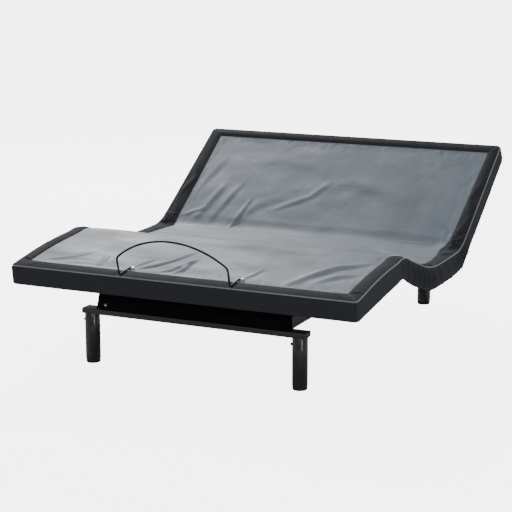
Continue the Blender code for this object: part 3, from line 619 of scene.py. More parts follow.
class Repeater:
    """Geometry node trees that set one small item many times."""

    @staticmethod
    def _tree(name: str, sockets: list[tuple[str, str, object]]) -> bpy.types.NodeTree:
        """An empty tree with geometry in and out, and named inputs."""
        tree = bpy.data.node_groups.new(name, "GeometryNodeTree")
        tree.interface.new_socket("Geometry", in_out="INPUT", socket_type="NodeSocketGeometry")
        for label, kind, value in sockets:
            socket = tree.interface.new_socket(label, in_out="INPUT", socket_type=kind)
            if value is not None:
                socket.default_value = value
        tree.interface.new_socket("Geometry", in_out="OUTPUT", socket_type="NodeSocketGeometry")
        return tree

    @staticmethod
    def _finish(
        name: str,
        tree: bpy.types.NodeTree,
        guide: bpy.types.Mesh,
        values: dict[str, object],
        finish: Enum,
    ) -> bpy.types.Object:
        """Runs a tree on a guide mesh and keeps the result as a plain mesh.

        Args:
            name: the piece's name.
            tree: the tree.
            guide: the mesh whose points or edges carry the items.
            values: a value for each named input.
            finish: the items' finish.

        Returns:
            The piece.
        """
        piece = bpy.data.objects.new(name, guide)
        bpy.context.scene.collection.objects.link(piece)
        modifier = piece.modifiers.new("repeat", "NODES")
        modifier.node_group = tree
        for socket in tree.interface.items_tree:
            if socket.in_out == "INPUT" and socket.name in values:
                modifier[socket.identifier] = values[socket.name]
        evaluated(piece)
        piece.data.materials.clear()
        piece.data.materials.append(FINISHES.of(finish))
        for attribute in [a for a in piece.data.attributes if a.name in ("facing",)]:
            piece.data.attributes.remove(attribute)
        soften(piece.data)
        return piece

    @classmethod
    def along(
        cls, name: str, paths: list[np.ndarray], item: bpy.types.Object, spacing: float, finish: Enum
    ) -> bpy.types.Object:
        """Sets an item along paths, with its own Z along each of them.

        Args:
            name: the piece's name.
            paths: the points of each path.
            item: the object that is repeated.
            spacing: the distance between two items.
            finish: the items' finish.

        Returns:
            One piece that holds all of them.
        """
        tree = cls._tree(
            f"{name}_tree",
            [
                ("Spacing", "NodeSocketFloat", spacing),
                ("Item", "NodeSocketObject", None),
                ("Finish", "NodeSocketMaterial", None),
            ],
        )
        nodes, links = tree.nodes, tree.links
        given, result = nodes.new("NodeGroupInput"), nodes.new("NodeGroupOutput")
        curve = nodes.new("GeometryNodeMeshToCurve")
        resample = nodes.new("GeometryNodeResampleCurve")
        resample.mode = "LENGTH"
        tangent = nodes.new("GeometryNodeInputTangent")
        facing = nodes.new("FunctionNodeAlignRotationToVector")
        facing.axis = "Z"
        source = nodes.new("GeometryNodeObjectInfo")
        instance = nodes.new("GeometryNodeInstanceOnPoints")
        realize = nodes.new("GeometryNodeRealizeInstances")
        paint = nodes.new("GeometryNodeSetMaterial")
        links.new(given.outputs["Geometry"], curve.inputs["Mesh"])
        links.new(curve.outputs["Curve"], resample.inputs["Curve"])
        links.new(given.outputs["Spacing"], resample.inputs["Length"])
        links.new(resample.outputs["Curve"], instance.inputs["Points"])
        links.new(given.outputs["Item"], source.inputs["Object"])
        links.new(source.outputs["Geometry"], instance.inputs["Instance"])
        links.new(tangent.outputs["Tangent"], facing.inputs["Vector"])
        links.new(facing.outputs["Rotation"], instance.inputs["Rotation"])
        links.new(instance.outputs["Instances"], realize.inputs["Geometry"])
        links.new(realize.outputs["Geometry"], paint.inputs["Geometry"])
        links.new(given.outputs["Finish"], paint.inputs["Material"])
        links.new(paint.outputs["Geometry"], result.inputs["Geometry"])
        guide = bpy.data.meshes.new(name)
        verts, edges = [], []
        for path in paths:
            first = len(verts)
            verts += [tuple(point) for point in path]
            edges += [(first + i, first + i + 1) for i in range(len(path) - 1)]
        guide.from_pydata(verts, edges, [])
        values = {"Spacing": spacing, "Item": item, "Finish": FINISHES.of(finish)}
        return cls._finish(name, tree, guide, values, finish)

    @classmethod
    def at(
        cls, name: str, spots: list[tuple[Vector, Vector]], item: bpy.types.Object, finish: Enum
    ) -> bpy.types.Object:
        """Sets an item at each spot, with its own Z along the spot's direction.

        Args:
            name: the piece's name.
            spots: a place and a direction for each item.
            item: the object that is repeated.
            finish: the items' finish.

        Returns:
            One piece that holds all of them.
        """
        tree = cls._tree(
            f"{name}_tree", [("Item", "NodeSocketObject", None), ("Finish", "NodeSocketMaterial", None)]
        )
        nodes, links = tree.nodes, tree.links
        given, result = nodes.new("NodeGroupInput"), nodes.new("NodeGroupOutput")
        direction = nodes.new("GeometryNodeInputNamedAttribute")
        direction.data_type = "FLOAT_VECTOR"
        direction.inputs["Name"].default_value = "facing"
        facing = nodes.new("FunctionNodeAlignRotationToVector")
        facing.axis = "Z"
        source = nodes.new("GeometryNodeObjectInfo")
        instance = nodes.new("GeometryNodeInstanceOnPoints")
        realize = nodes.new("GeometryNodeRealizeInstances")
        paint = nodes.new("GeometryNodeSetMaterial")
        links.new(given.outputs["Geometry"], instance.inputs["Points"])
        links.new(given.outputs["Item"], source.inputs["Object"])
        links.new(source.outputs["Geometry"], instance.inputs["Instance"])
        links.new(direction.outputs["Attribute"], facing.inputs["Vector"])
        links.new(facing.outputs["Rotation"], instance.inputs["Rotation"])
        links.new(instance.outputs["Instances"], realize.inputs["Geometry"])
        links.new(realize.outputs["Geometry"], paint.inputs["Geometry"])
        links.new(given.outputs["Finish"], paint.inputs["Material"])
        links.new(paint.outputs["Geometry"], result.inputs["Geometry"])
        guide = bpy.data.meshes.new(name)
        guide.from_pydata([tuple(place) for place, _ in spots], [], [])
        layer = guide.attributes.new("facing", "FLOAT_VECTOR", "POINT")
        layer.data.foreach_set("vector", [c for _, way in spots for c in way])
        return cls._finish(name, tree, guide, {"Item": item, "Finish": FINISHES.of(finish)}, finish)


class Items:
    """Small items that are repeated, each about its own origin with its axis along Z."""

    @staticmethod
    def _kept(name: str, mesh: bpy.types.Mesh) -> bpy.types.Object:
        """An object that the trees read, and that isn't part of the scene."""
        return bpy.data.objects.new(name, mesh)

    @classmethod
    def stitch(cls, length: float, radius: float) -> bpy.types.Object:
        """One stitch: a short fat thread, thinner at its ends."""
        half = length / 2
        profile = [(0, half), (radius * 0.7, half * 0.8), (radius, half * 0.3)]
        profile += [(r, -z) for r, z in reversed(profile)]
        return cls._kept("stitch_item", lathed("stitch_item", profile, 6))

    @classmethod
    def bolt_head(cls, radius: float, height: float) -> bpy.types.Object:
        """A domed bolt head with a round socket, on a washer."""
        washer = radius * 1.45
        profile = [
            (0, height * 0.45),
            (radius * 0.42, height * 0.45),
            (radius * 0.46, height * 0.98),
            (radius * 0.80, height * 0.88),
            (radius, height * 0.55),
            (radius, height * 0.22),
            (washer * 0.97, height * 0.20),
            (washer, height * 0.12),
            (washer, -height * 0.1),
            (0, -height * 0.1),
        ]
        return cls._kept("bolt_item", lathed("bolt_item", profile, 20))

    @classmethod
    def rivet(cls, radius: float, height: float) -> bpy.types.Object:
        """A pin's peened end."""
        profile = [
            (0, height),
            (radius * 0.55, height * 0.86),
            (radius * 0.9, height * 0.45),
            (radius, 0.0),
            (radius, -height * 0.2),
            (0, -height * 0.2),
        ]
        return cls._kept("rivet_item", lathed("rivet_item", profile, 18))


# ---- the deck's shape, and how the cover bends over it ----


def farthest(node: str, origin: Vector, direction: Vector) -> float:
    """How far a CAD node reaches from a point along a direction."""
    return max((v.co - origin).dot(direction) for v in frame["nodes"][node].data.vertices)


def turned(points: np.ndarray, pivot: tuple[float, float], angle: np.ndarray | float) -> np.ndarray:
    """Points turned about an axis along X, by an angle in radians that lifts what lies towards +Y."""
    y, z = points[..., 1] - pivot[0], points[..., 2] - pivot[1]
    c, s = np.cos(angle), np.sin(angle)
    return np.stack([points[..., 0], pivot[0] + c * y - s * z, pivot[1] + s * y + c * z], axis=-1)


class Deck:
    """The hinge axes and lengths of the deck, read from the frame, as it is drawn and laid flat."""

    def __init__(self) -> None:
        """Reads the joints and the ends of the CAD sections."""
        joints = {joint["name"]: joint for joint in frame["joints"]}
        self.hip = tuple(joints["head_lift"]["pos_m"][1:])
        self.seat = tuple(joints["thigh_lift"]["pos_m"][1:])
        knee = tuple(joints["knee_fold"]["pos_m"][1:])
        self.axis_z = self.hip[1]
        self.head_angle, self.thigh_angle, self.knee_angle = (
            math.radians(-joints[name]["range_deg"][0]) for name in ("head_lift", "thigh_lift", "knee_fold")
        )
        thigh_length = math.hypot(knee[0] - self.seat[0], knee[1] - self.seat[1])
        self.knee_flat = (self.seat[0] - thigh_length, self.axis_z)
        foot_angle = self.knee_angle - self.thigh_angle
        along_head = Vector((0, math.cos(self.head_angle), math.sin(self.head_angle)))
        along_foot = Vector((0, -math.cos(foot_angle), -math.sin(foot_angle)))
        self.head_end = self.hip[0] + farthest("head_end_band", Vector((0, *self.hip)), along_head)
        self.foot_end = self.knee_flat[0] - farthest("foot_end_band", Vector((0, *knee)), along_foot)
        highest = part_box("seat_pad")[1]
        self.top_z = highest.z
        self.half_width = highest.x
        self.band_depth = self.top_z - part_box("seat_side_band_left")[0].z
        self.seat_middle = (self.seat[0] + self.hip[0]) / 2
        self.thigh_middle = (self.seat[0] + self.knee_flat[0]) / 2


DECK = Deck()


@dataclass(frozen=True)
class Zone:
    """A stretch of the cover that crosses one hinge, from the body it starts on to the body it ends on."""

    name: str
    bodies: tuple[str, str]
    pivot: tuple[float, float]
    angle: float
    towards: int
    span: tuple[float, float]
    carried: float = 0.0
    reach: float = 0.080

    def _carry(self, points: np.ndarray) -> np.ndarray:
        """Turns points with the thigh section, for the stretch that starts on it."""
        return turned(points, DECK.seat, self.carried)

    def ends(self) -> tuple[np.ndarray, np.ndarray]:
        """Where the bend starts and ends, on the hinge's own level."""
        step = self.towards * self.reach
        start = np.array([0.0, self.pivot[0] - step, self.pivot[1]])
        end = turned(np.array([0.0, self.pivot[0] + step, self.pivot[1]]), self.pivot, self.angle)
        return self._carry(start), self._carry(end)

    def bend(self, flat: np.ndarray) -> np.ndarray:
        """Carries points of the flat cover to where they lie on the raised deck.

        Args:
            flat: points on the flat cover, with X across, Y along and Z up.

        Returns:
            The same points, bent over the hinge just as the cover bends when the deck moves.
        """
        start, end = self.ends()
        run = end - start
        share = smoothstep(0.5 + self.towards * (flat[..., 1] - self.pivot[0]) / (2 * self.reach))
        for _ in range(8):
            bent = self._carry(turned(flat, self.pivot, share * self.angle))
            share = smoothstep((bent - start) @ run / (run @ run))
        return bent

    def blend(self, piece: bpy.types.Object, slot: str, *replaced: str) -> bpy.types.Object:
        """Makes a piece follow both bodies of this stretch."""
        start, end = self.ends()
        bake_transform(piece, *self.bodies, start=tuple(start), end=tuple(end))
        if replaced:
            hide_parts(*replaced)
        log.info("%s bends from %s to %s", piece.name, *self.bodies)
        return piece


def zones() -> list[Zone]:
    """The three stretches of the cover. They meet on the middles of the thigh and seat sections."""
    return [
        Zone(
            "foot",
            ("thigh_section", "foot_section"),
            DECK.knee_flat,
            DECK.knee_angle,
            -1,
            (DECK.foot_end, DECK.thigh_middle),
            carried=-DECK.thigh_angle,
            reach=0.085,
        ),
        Zone(
            "middle",
            ("base_frame", "thigh_section"),
            DECK.seat,
            -DECK.thigh_angle,
            -1,
            (DECK.thigh_middle, DECK.seat_middle),
        ),
        Zone(
            "head",
            ("base_frame", "head_section"),
            DECK.hip,
            DECK.head_angle,
            1,
            (DECK.seat_middle, DECK.head_end),
        ),
    ]


# ---- creases ----


@dataclass(frozen=True)
class Crease:
    """A fold in cloth: a ridge along a few points of the flat cover, with a shallower valley on one side."""

    points: tuple[tuple[float, float], ...]
    height: float
    width: float
    valley: float = 0.45

    def relief(self, x: np.ndarray, y: np.ndarray) -> np.ndarray:
        """How far the fold lifts each place of the flat cover."""
        best = np.full(x.shape, 1e9)
        side = np.zeros(x.shape)
        along = np.zeros(x.shape)
        count = len(self.points) - 1
        for i, (a, b) in enumerate(zip(self.points, self.points[1:])):
            dx, dy = b[0] - a[0], b[1] - a[1]
            length = math.hypot(dx, dy)
            t = ((x - a[0]) * dx + (y - a[1]) * dy) / length**2
            held = np.clip(t, 0, 1)
            away = np.hypot(x - a[0] - held * dx, y - a[1] - held * dy)
            cross = ((x - a[0]) * dy - (y - a[1]) * dx) / length
            nearer = away < best
            best = np.where(nearer, away, best)
            side = np.where(nearer, np.sign(cross) * away, side)
            along = np.where(nearer, (i + held) / count, along)
        u = side / self.width
        shape = np.exp(-(u**2)) - self.valley * np.exp(-((u - 1.6) ** 2))
        ends = np.sin(np.pi * np.clip(along, 0.02, 0.98)) ** 0.5
        return self.height * shape * ends


def noise_field(x: np.ndarray, y: np.ndarray, scale: float, seed: float) -> np.ndarray:
    """Smooth noise from about -1 to 1 over the flat cover."""
    flat = [noise.noise(Vector((a * scale, b * scale, seed))) for a, b in zip(x.ravel(), y.ravel())]
    return np.array(flat).reshape(x.shape) * 2.0


# ---- the upholstered cover ----


@dataclass
class CoverShape:
    """Sizes of the cover that its pieces share, and its heights over the flat deck."""

    border_foot: float = 0.075
    border_head: float = 0.052
    seam_places: tuple[float, ...] = (-0.97, -0.45, 0.10, 0.22, 0.33, 0.43, 1.05)
    seam_left: tuple[float, ...] = (0.712, 0.710, 0.700, 0.690, 0.672, 0.686, 0.700)
    seam_right: tuple[float, ...] = (0.697, 0.699, 0.704, 0.692, 0.670, 0.696, 0.713)
    corner_radius: float = 0.020
    stand_off: float = 0.0018
    hip_bridge: float = 0.013
    seat_bridge: float = 0.007
    bridge_length: float = 0.060
    bridge_inner: float = 0.60
    foot_crown: float = 0.010
    hip_span_rise: float = 0.012
    hip_span_offset: float = 0.012
    hip_span_length: float = 0.080
    hip_span_half_width: float = 0.78
    seat_round: float = 0.0040
    skirt_slack: float = 0.016
    seat_tuck: float = 0.007
    hip_tuck: float = 0.009
    hem_drop: float = 0.0025

    def seam_x(self, y: np.ndarray | float, sign: int) -> np.ndarray | float:
        """How far from the middle the border meets the grip cloth, on one side."""
        return np.interp(y, self.seam_places, self.seam_right if sign > 0 else self.seam_left)

    def inner_span(self) -> tuple[float, float]:
        """Where the grip cloth starts and ends along the bed."""
        return DECK.foot_end + self.border_foot, DECK.head_end - self.border_head

    def lift(self, x: np.ndarray, y: np.ndarray) -> np.ndarray:
        """How far the cover stands over the flat deck near its sides, where it bridges the hollow hinges."""
        edge = smoothstep((np.abs(x) - self.bridge_inner) / (DECK.half_width - self.bridge_inner))
        hip = self.hip_bridge * np.exp(-(((y - DECK.hip[0]) / self.bridge_length) ** 2))
        seat = self.seat_bridge * np.exp(-(((y - DECK.seat[0]) / self.bridge_length) ** 2))
        length = DECK.knee_flat[0] - DECK.foot_end
        share = np.clip((y - DECK.foot_end) / length, 0, 1)
        crown = self.foot_crown * np.sin(np.pi * share) ** 1.5 * edge
        across = 1 - np.clip(x / self.hip_span_half_width, -1, 1) ** 2
        over_hip = (y - DECK.hip[0] + self.hip_span_offset) / self.hip_span_length
        bridged = self.hip_span_rise * np.exp(-(over_hip**2)) * across
        rounded = self.seat_round * np.exp(-(((y - DECK.seat[0]) / self.bridge_length) ** 2))
        return edge * (hip + seat) + crown + bridged + rounded

    def skirt_depth(self, y: np.ndarray) -> np.ndarray:
        """How far the side hangs under the deck's top, which is more where its cloth is slack."""
        knee, seat, hip = DECK.knee_flat[0], DECK.seat[0], DECK.hip[0]
        loosened = smoothstep((y - knee + 0.10) / 0.30) * (1 - smoothstep((y - hip + 0.16) / 0.24))
        slack = self.skirt_slack * loosened
        under_seat = self.seat_tuck * np.exp(-(((y - seat) / 0.07) ** 2))
        round_hip = self.hip_tuck * np.exp(-(((y - hip) / 0.035) ** 2))
        return DECK.band_depth + self.hem_drop + slack - under_seat - np.minimum(round_hip, slack)


class GripTop:
    """The grey cloth on top of the deck, sewn into the border all round, with its settled folds."""

    STEP = 0.007
    WALL = 0.0020
    TUCK = 0.004
    FOLDS = (
        # towards the foot end, from where the retainer bar is hooked in
        Crease(((-0.255, -0.868), (-0.227, -0.787), (-0.205, -0.735)), 0.0040, 0.008),
        Crease(((-0.235, -0.872), (-0.174, -0.821), (-0.128, -0.740), (-0.085, -0.620)), 0.0050, 0.010),
        Crease(((-0.150, -0.890), (-0.081, -0.848), (-0.062, -0.784), (-0.043, -0.730)), 0.0045, 0.010),
        Crease(((-0.060, -0.893), (-0.037, -0.824), (-0.045, -0.766), (-0.040, -0.700)), 0.0055, 0.011),
        Crease(((-0.402, -0.885), (-0.413, -0.800), (-0.430, -0.740)), 0.0050, 0.012),
        Crease(((-0.340, -0.890), (-0.352, -0.820), (-0.395, -0.750)), 0.0035, 0.011),
        Crease(((0.235, -0.872), (0.262, -0.800), (0.270, -0.730)), 0.0030, 0.010),
        Crease(((0.430, -0.880), (0.484, -0.752), (0.553, -0.632), (0.680, -0.550)), 0.0075, 0.022),
        Crease(((0.520, -0.820), (0.592, -0.731), (0.685, -0.690)), 0.0050, 0.020),
        Crease(((-0.690, -0.885), (-0.560, -0.800), (-0.500, -0.700)), 0.0035, 0.016),
        Crease(((-0.640, -0.890), (-0.470, -0.855), (-0.330, -0.862)), 0.0025, 0.010),
        # over the knees and on the seat
        Crease(((-0.690, -0.444), (-0.200, -0.441), (0.300, -0.445), (0.695, -0.450)), 0.0026, 0.007, 0.2),
        Crease(((-0.200, -0.520), (0.120, -0.490), (0.420, -0.500)), 0.0030, 0.030),
        Crease(((0.100, -0.330), (0.300, -0.300), (0.560, -0.180)), 0.0040, 0.030),
        Crease(((0.250, -0.120), (0.480, -0.060), (0.690, -0.030)), 0.0045, 0.016),
        Crease(((-0.690, -0.040), (-0.420, 0.060), (-0.180, 0.110)), 0.0040, 0.018),
        Crease(((0.420, 0.210), (0.560, 0.120), (0.690, 0.060)), 0.0040, 0.016),
        # on the back
        Crease(((-0.395, 0.350), (-0.375, 0.446), (-0.355, 0.590)), 0.0070, 0.010),
        Crease(((-0.600, 0.400), (-0.560, 0.560), (-0.530, 0.680)), 0.0075, 0.018),
        Crease(((-0.520, 0.390), (-0.480, 0.560), (-0.440, 0.700)), 0.0060, 0.016),
        Crease(((-0.685, 0.430), (-0.620, 0.470), (-0.560, 0.500)), 0.0060, 0.012),
        Crease(((-0.690, 0.560), (-0.650, 0.700), (-0.610, 0.860)), 0.0060, 0.020),
        Crease(((-0.440, 0.380), (-0.300, 0.560), (-0.180, 0.640)), 0.0050, 0.028),
        Crease(((-0.230, 0.520), (-0.060, 0.640), (0.000, 0.740)), 0.0060, 0.016),
        Crease(((-0.060, 0.700), (0.120, 0.760), (0.330, 0.700), (0.450, 0.620)), 0.0060, 0.040),
        Crease(((-0.560, 0.820), (-0.330, 0.880), (-0.060, 0.840)), 0.0035, 0.045),
        Crease(((0.250, 0.900), (0.450, 0.860), (0.620, 0.740)), 0.0030, 0.050),
        Crease(((0.690, 0.480), (0.600, 0.540), (0.520, 0.640)), 0.0040, 0.020),
        Crease(((0.450, 0.375), (0.560, 0.385), (0.660, 0.380)), 0.0030, 0.008),
    )

    def __init__(self, shape: CoverShape) -> None:
        """Keeps the shape of the cover.

        Args:
            shape: the cover's shared sizes.
        """
        self.shape = shape

    def relief(self, x: np.ndarray, y: np.ndarray) -> np.ndarray:
        """How far the cloth stands over the flat deck, with all its folds."""
        low, high = self.shape.inner_span()
        across = np.minimum(self.shape.seam_x(y, 1) - x, x + self.shape.seam_x(y, -1))
        room = np.minimum(np.minimum(across, y - low), high - y)
        free = smoothstep(room / 0.045)
        strength = 1.25 - 0.75 * smoothstep((y - 0.20) / 0.30)
        waves = 0.0022 * noise_field(x, y, 3.2, 1.5) + 0.0011 * noise_field(x, y, 9.0, 7.5)
        loose = np.maximum(sum(fold.relief(x, y) for fold in self.FOLDS) * strength + waves, -0.0016)
        pad = 0.0020 * smoothstep(room / 0.10)
        ripple = 0.0010 * noise_field(x * 2.2, y * 0.8, 24.0, 3.5) * (1 - smoothstep(room / 0.09))
        return self.shape.lift(x, y) + pad + free * loose + ripple * smoothstep(room / 0.012) - 0.0012

    def build(self, zone: Zone) -> bpy.types.Object:
        """Makes the stretch of the cloth that crosses one hinge."""
        low, high = self.shape.inner_span()
        start, end = max(zone.span[0], low - self.TUCK), min(zone.span[1], high + self.TUCK)
        rows = int((end - start) / self.STEP) + 1
        columns = int(2 * DECK.half_width / self.STEP) + 1
        share, y = np.meshgrid(np.linspace(0, 1, columns), np.linspace(start, end, rows))
        right, left = self.shape.seam_x(y, 1) + self.TUCK, self.shape.seam_x(y, -1) + self.TUCK
        x = right - share * (right + left)
        flat = np.stack([x, y, DECK.top_z + self.relief(x, y)], axis=-1)
        name = f"grip_top_{zone.name}"
        piece = link(name, grid_mesh(name, zone.bend(flat), flat[..., :2]), Cloths.GRIP)
        thickened(piece, self.WALL)
        pads = {"foot": ("foot_pad",), "middle": ("thigh_pad",), "head": ("seat_pad", "head_pad")}
        zone.blend(piece, "grip_fabric", *pads[zone.name])
        return piece


class BorderCover:
    """The charcoal border on top of the deck and its hanging skirt, in one strip with mitred corners."""

    WALL = 0.0014
    SIDE_STEP = 0.0045
    END_STEP = 0.010
    TOP_ROWS = 9
    SKIRT_ROWS = 16
    HEM_DEPTH = 0.026
    SHOULDER = 0.007
    SIDE_PLEATS = (
        # place along the top edge, how far it leans towards the head, height, width
        (-0.470, 0.015, 0.0050, 0.012),
        (-0.410, 0.040, 0.0060, 0.013),
        (-0.345, 0.062, 0.0085, 0.015),
        (-0.278, 0.070, 0.0095, 0.015),
        (-0.214, 0.072, 0.0095, 0.015),
        (-0.150, 0.068, 0.0090, 0.015),
        (-0.078, 0.066, 0.0075, 0.016),
        (0.020, 0.070, 0.0060, 0.018),
        (0.130, 0.085, 0.0050, 0.019),
        (0.240, 0.060, 0.0050, 0.016),
        (0.300, 0.030, 0.0060, 0.013),
        (0.346, 0.004, 0.0075, 0.011),
        (0.382, -0.022, 0.0070, 0.011),
        (0.424, -0.045, 0.0055, 0.013),
        (0.494, -0.060, 0.0035, 0.018),
        (0.614, -0.050, 0.0025, 0.026),
    )
    TOP_FOLDS = (
        # on the side borders, as (distance from the middle, place along the bed)
        Crease(((0.705, 0.330), (0.735, 0.352), (0.764, 0.372)), 0.0060, 0.007),
        Crease(((0.700, 0.352), (0.730, 0.380), (0.764, 0.412)), 0.0065, 0.007),
        Crease(((0.700, 0.372), (0.722, 0.412), (0.758, 0.458)), 0.0060, 0.008),
        Crease(((0.764, 0.300), (0.738, 0.334), (0.712, 0.362)), 0.0050, 0.007),
        Crease(((0.706, 0.440), (0.735, 0.520), (0.758, 0.600)), 0.0045, 0.012),
        Crease(((0.758, 0.560), (0.730, 0.640), (0.706, 0.720)), 0.0040, 0.014),
        Crease(((0.708, 0.700), (0.735, 0.780), (0.755, 0.840)), 0.0030, 0.014),
        Crease(((0.705, 0.190), (0.735, 0.235), (0.762, 0.290)), 0.0045, 0.012),
        Crease(((0.764, -0.060), (0.735, -0.020), (0.706, 0.030)), 0.0050, 0.010),
        Crease(((0.706, -0.110), (0.735, -0.070), (0.764, -0.020)), 0.0050, 0.009),
        Crease(((0.764, -0.160), (0.735, -0.130), (0.706, -0.080)), 0.0040, 0.010),
        Crease(((0.706, -0.330), (0.735, -0.270), (0.762, -0.220)), 0.0025, 0.016),
        Crease(((0.700, -0.905), (0.730, -0.890), (0.757, -0.880)), 0.0025, 0.006),
        Crease(((0.640, -0.915), (0.665, -0.935), (0.690, -0.955)), 0.0022, 0.006),
        Crease(((0.600, -0.905), (0.620, -0.925), (0.640, -0.955)), 0.0020, 0.006),
    )

    def __init__(self, shape: CoverShape) -> None:
        """Keeps the shape of the cover.

        Args:
            shape: the cover's shared sizes.
        """
        self.shape = shape
        self.outer_x = DECK.half_width + shape.stand_off

    def plan(self, zone: Zone) -> list[tuple[np.ndarray, np.ndarray]]:
        """The strip seen from above, as pairs of its outer and inner edge.

        Args:
            zone: the stretch of the cover.

        Returns:
            For each separate strip, the outer and the inner points, each as (x, y) rows.
        """
        start, end = zone.span
        if zone.name == "middle":
            count = int((end - start) / self.SIDE_STEP) + 1
            y = np.linspace(end, start, count)
            strips = []
            for sign in (1, -1):
                outer = np.stack([y * 0 + sign * self.outer_x, y], -1)
                inner = np.stack([sign * self.shape.seam_x(y, sign), y], -1)
                strips.append((outer[::sign], inner[::sign]))
            return strips
        foot = zone.name == "foot"
        way = 1 if foot else -1
        near = (start if foot else end) - way * self.shape.stand_off
        border = self.shape.border_foot if foot else self.shape.border_head
        inner_y = (start if foot else end) + way * border
        far = end if foot else start
        radius = self.shape.corner_radius
        side_y = np.linspace(far, near + way * radius, int(abs(far - near) / self.SIDE_STEP))
        kept_y = way * np.maximum(way * side_y, way * inner_y)
        turns = np.linspace(0, math.pi / 2, 9)[1:-1]
        reach = self.outer_x - radius
        width = np.linspace(reach, -reach, int(2 * reach / self.END_STEP))
        corner = np.stack(
            [reach + radius * np.cos(turns), near + way * radius * (1 - np.sin(turns))], axis=-1
        )
        halves = {}
        for sign in (1, -1):
            seam = self.shape.seam_x(kept_y, sign)
            seam_corner = np.tile([sign * self.shape.seam_x(inner_y, sign), inner_y], (len(turns), 1))
            side = np.stack([side_y * 0 + sign * self.outer_x, side_y], -1)
            outer = np.concatenate([side, corner * [sign, 1]])
            inner = np.concatenate([np.stack([sign * seam, kept_y], -1), seam_corner])
            halves[sign] = (outer, inner)
        limits = -self.shape.seam_x(inner_y, -1), self.shape.seam_x(inner_y, 1)
        across = np.stack([width, width * 0 + near], -1)
        across_in = np.stack([np.clip(width, *limits), width * 0 + inner_y], -1)
        outer = np.concatenate([halves[1][0], across, halves[-1][0][::-1]])
        inner = np.concatenate([halves[1][1], across_in, halves[-1][1][::-1]])
        return [(outer, inner)]

    def outwards(self, outer: np.ndarray) -> np.ndarray:
        """The direction away from the bed along an outer edge, seen from above."""
        run = np.gradient(outer, axis=0)
        out = np.stack([-run[:, 1], run[:, 0]], axis=-1)
        out /= np.linalg.norm(out, axis=1)[:, None]
        centre = np.array([0.0, (DECK.foot_end + DECK.head_end) / 2])
        flip = np.sign(np.sum(out * (outer - centre), axis=1))
        return out * flip[:, None]

    def pressed(self, plan: np.ndarray) -> np.ndarray:
        """How much of its puff the border keeps: none under the legs of the retainer bar."""
        low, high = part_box("retainer_bar")
        legs = (low.x + 0.004, high.x - 0.004)
        near = [np.exp(-(((plan[:, 0] - x) / 0.016) ** 2)) for x in legs]
        at_foot = 1 - smoothstep((plan[:, 1] - DECK.foot_end - 0.12) / 0.05)
        return 1 - np.clip(near[0] + near[1], 0, 1) * at_foot

    @staticmethod
    def bunching(x: np.ndarray, y: np.ndarray) -> np.ndarray:
        """Small gathers where the sides fold at the hip, and fainter ones where they fold at the seat."""
        hip = np.exp(-(((y - DECK.hip[0] - 0.005) / 0.055) ** 2))
        seat = 0.35 * np.exp(-(((y - DECK.seat[0]) / 0.060) ** 2))
        on_side = smoothstep((np.abs(x) - 0.66) / 0.04)
        wrinkle = 1 - np.abs(noise_field(x * 0.45 - y * 0.6, y, 42.0, 12.5))
        return on_side * (hip + seat) * (0.0150 * np.clip(wrinkle, 0, 1) ** 2 - 0.0045)

    def skirt_relief(self, x: np.ndarray, y: np.ndarray, down: np.ndarray) -> np.ndarray:
        """How far the skirt stands out, with its gathers. down is 0 at its top edge and 1 at its hem."""
        on_side = smoothstep((np.abs(x) - DECK.half_width + 0.012) / 0.008)
        total = 0.0016 * np.sin(np.pi * np.clip(down, 0, 1))
        swing = np.where(x > 0, 0.0, 0.013)
        for place, lean, height, width in self.SIDE_PLEATS:
            u = (y - place - swing - lean * down) / width
            shape = np.exp(-np.abs(u) ** 1.5) - 0.35 * np.exp(-((u - 1.5) ** 2))
            grown = np.sin(np.pi * np.clip(down * 0.86 + 0.10, 0, 1)) ** 0.7
            total = total + on_side * height * 2.0 * shape * grown
        waves = 0.0011 * noise_field(x + y, down * 0.35 + y * 0.2, 10.0, 5.5)
        total = total + waves * np.clip(down * 3, 0, 1)
        gathered = np.clip(down * 3, 0, 1) * (1 - smoothstep((down - 0.45) / 0.40))
        total = total + 1.5 * on_side * self.bunching(x, y + 0.03 * down) * gathered
        return np.maximum(total, -0.0006)

    def strip(self, outer: np.ndarray, inner: np.ndarray) -> tuple[np.ndarray, np.ndarray]:
        """Lays the border, its shoulder, skirt and hem across each place of the edge.

        Args:
            outer: the outer edge, seen from above.
            inner: the seam with the grip cloth, seen from above.

        Returns:
            The points on the flat cover, and their places on the cloth.
        """
        out = self.outwards(outer)
        rows: list[np.ndarray] = []
        run = np.concatenate([[0], np.cumsum(np.linalg.norm(np.diff(outer, axis=0), axis=1))])
        depth = self.shape.skirt_depth(outer[:, 1])
        shoulder = self.SHOULDER

        def row(plan: np.ndarray, height: np.ndarray) -> None:
            """Lays one row of points along the whole edge, at a height over the deck's top."""
            rows.append(np.stack([plan[:, 0], plan[:, 1], DECK.top_z + height], axis=-1))

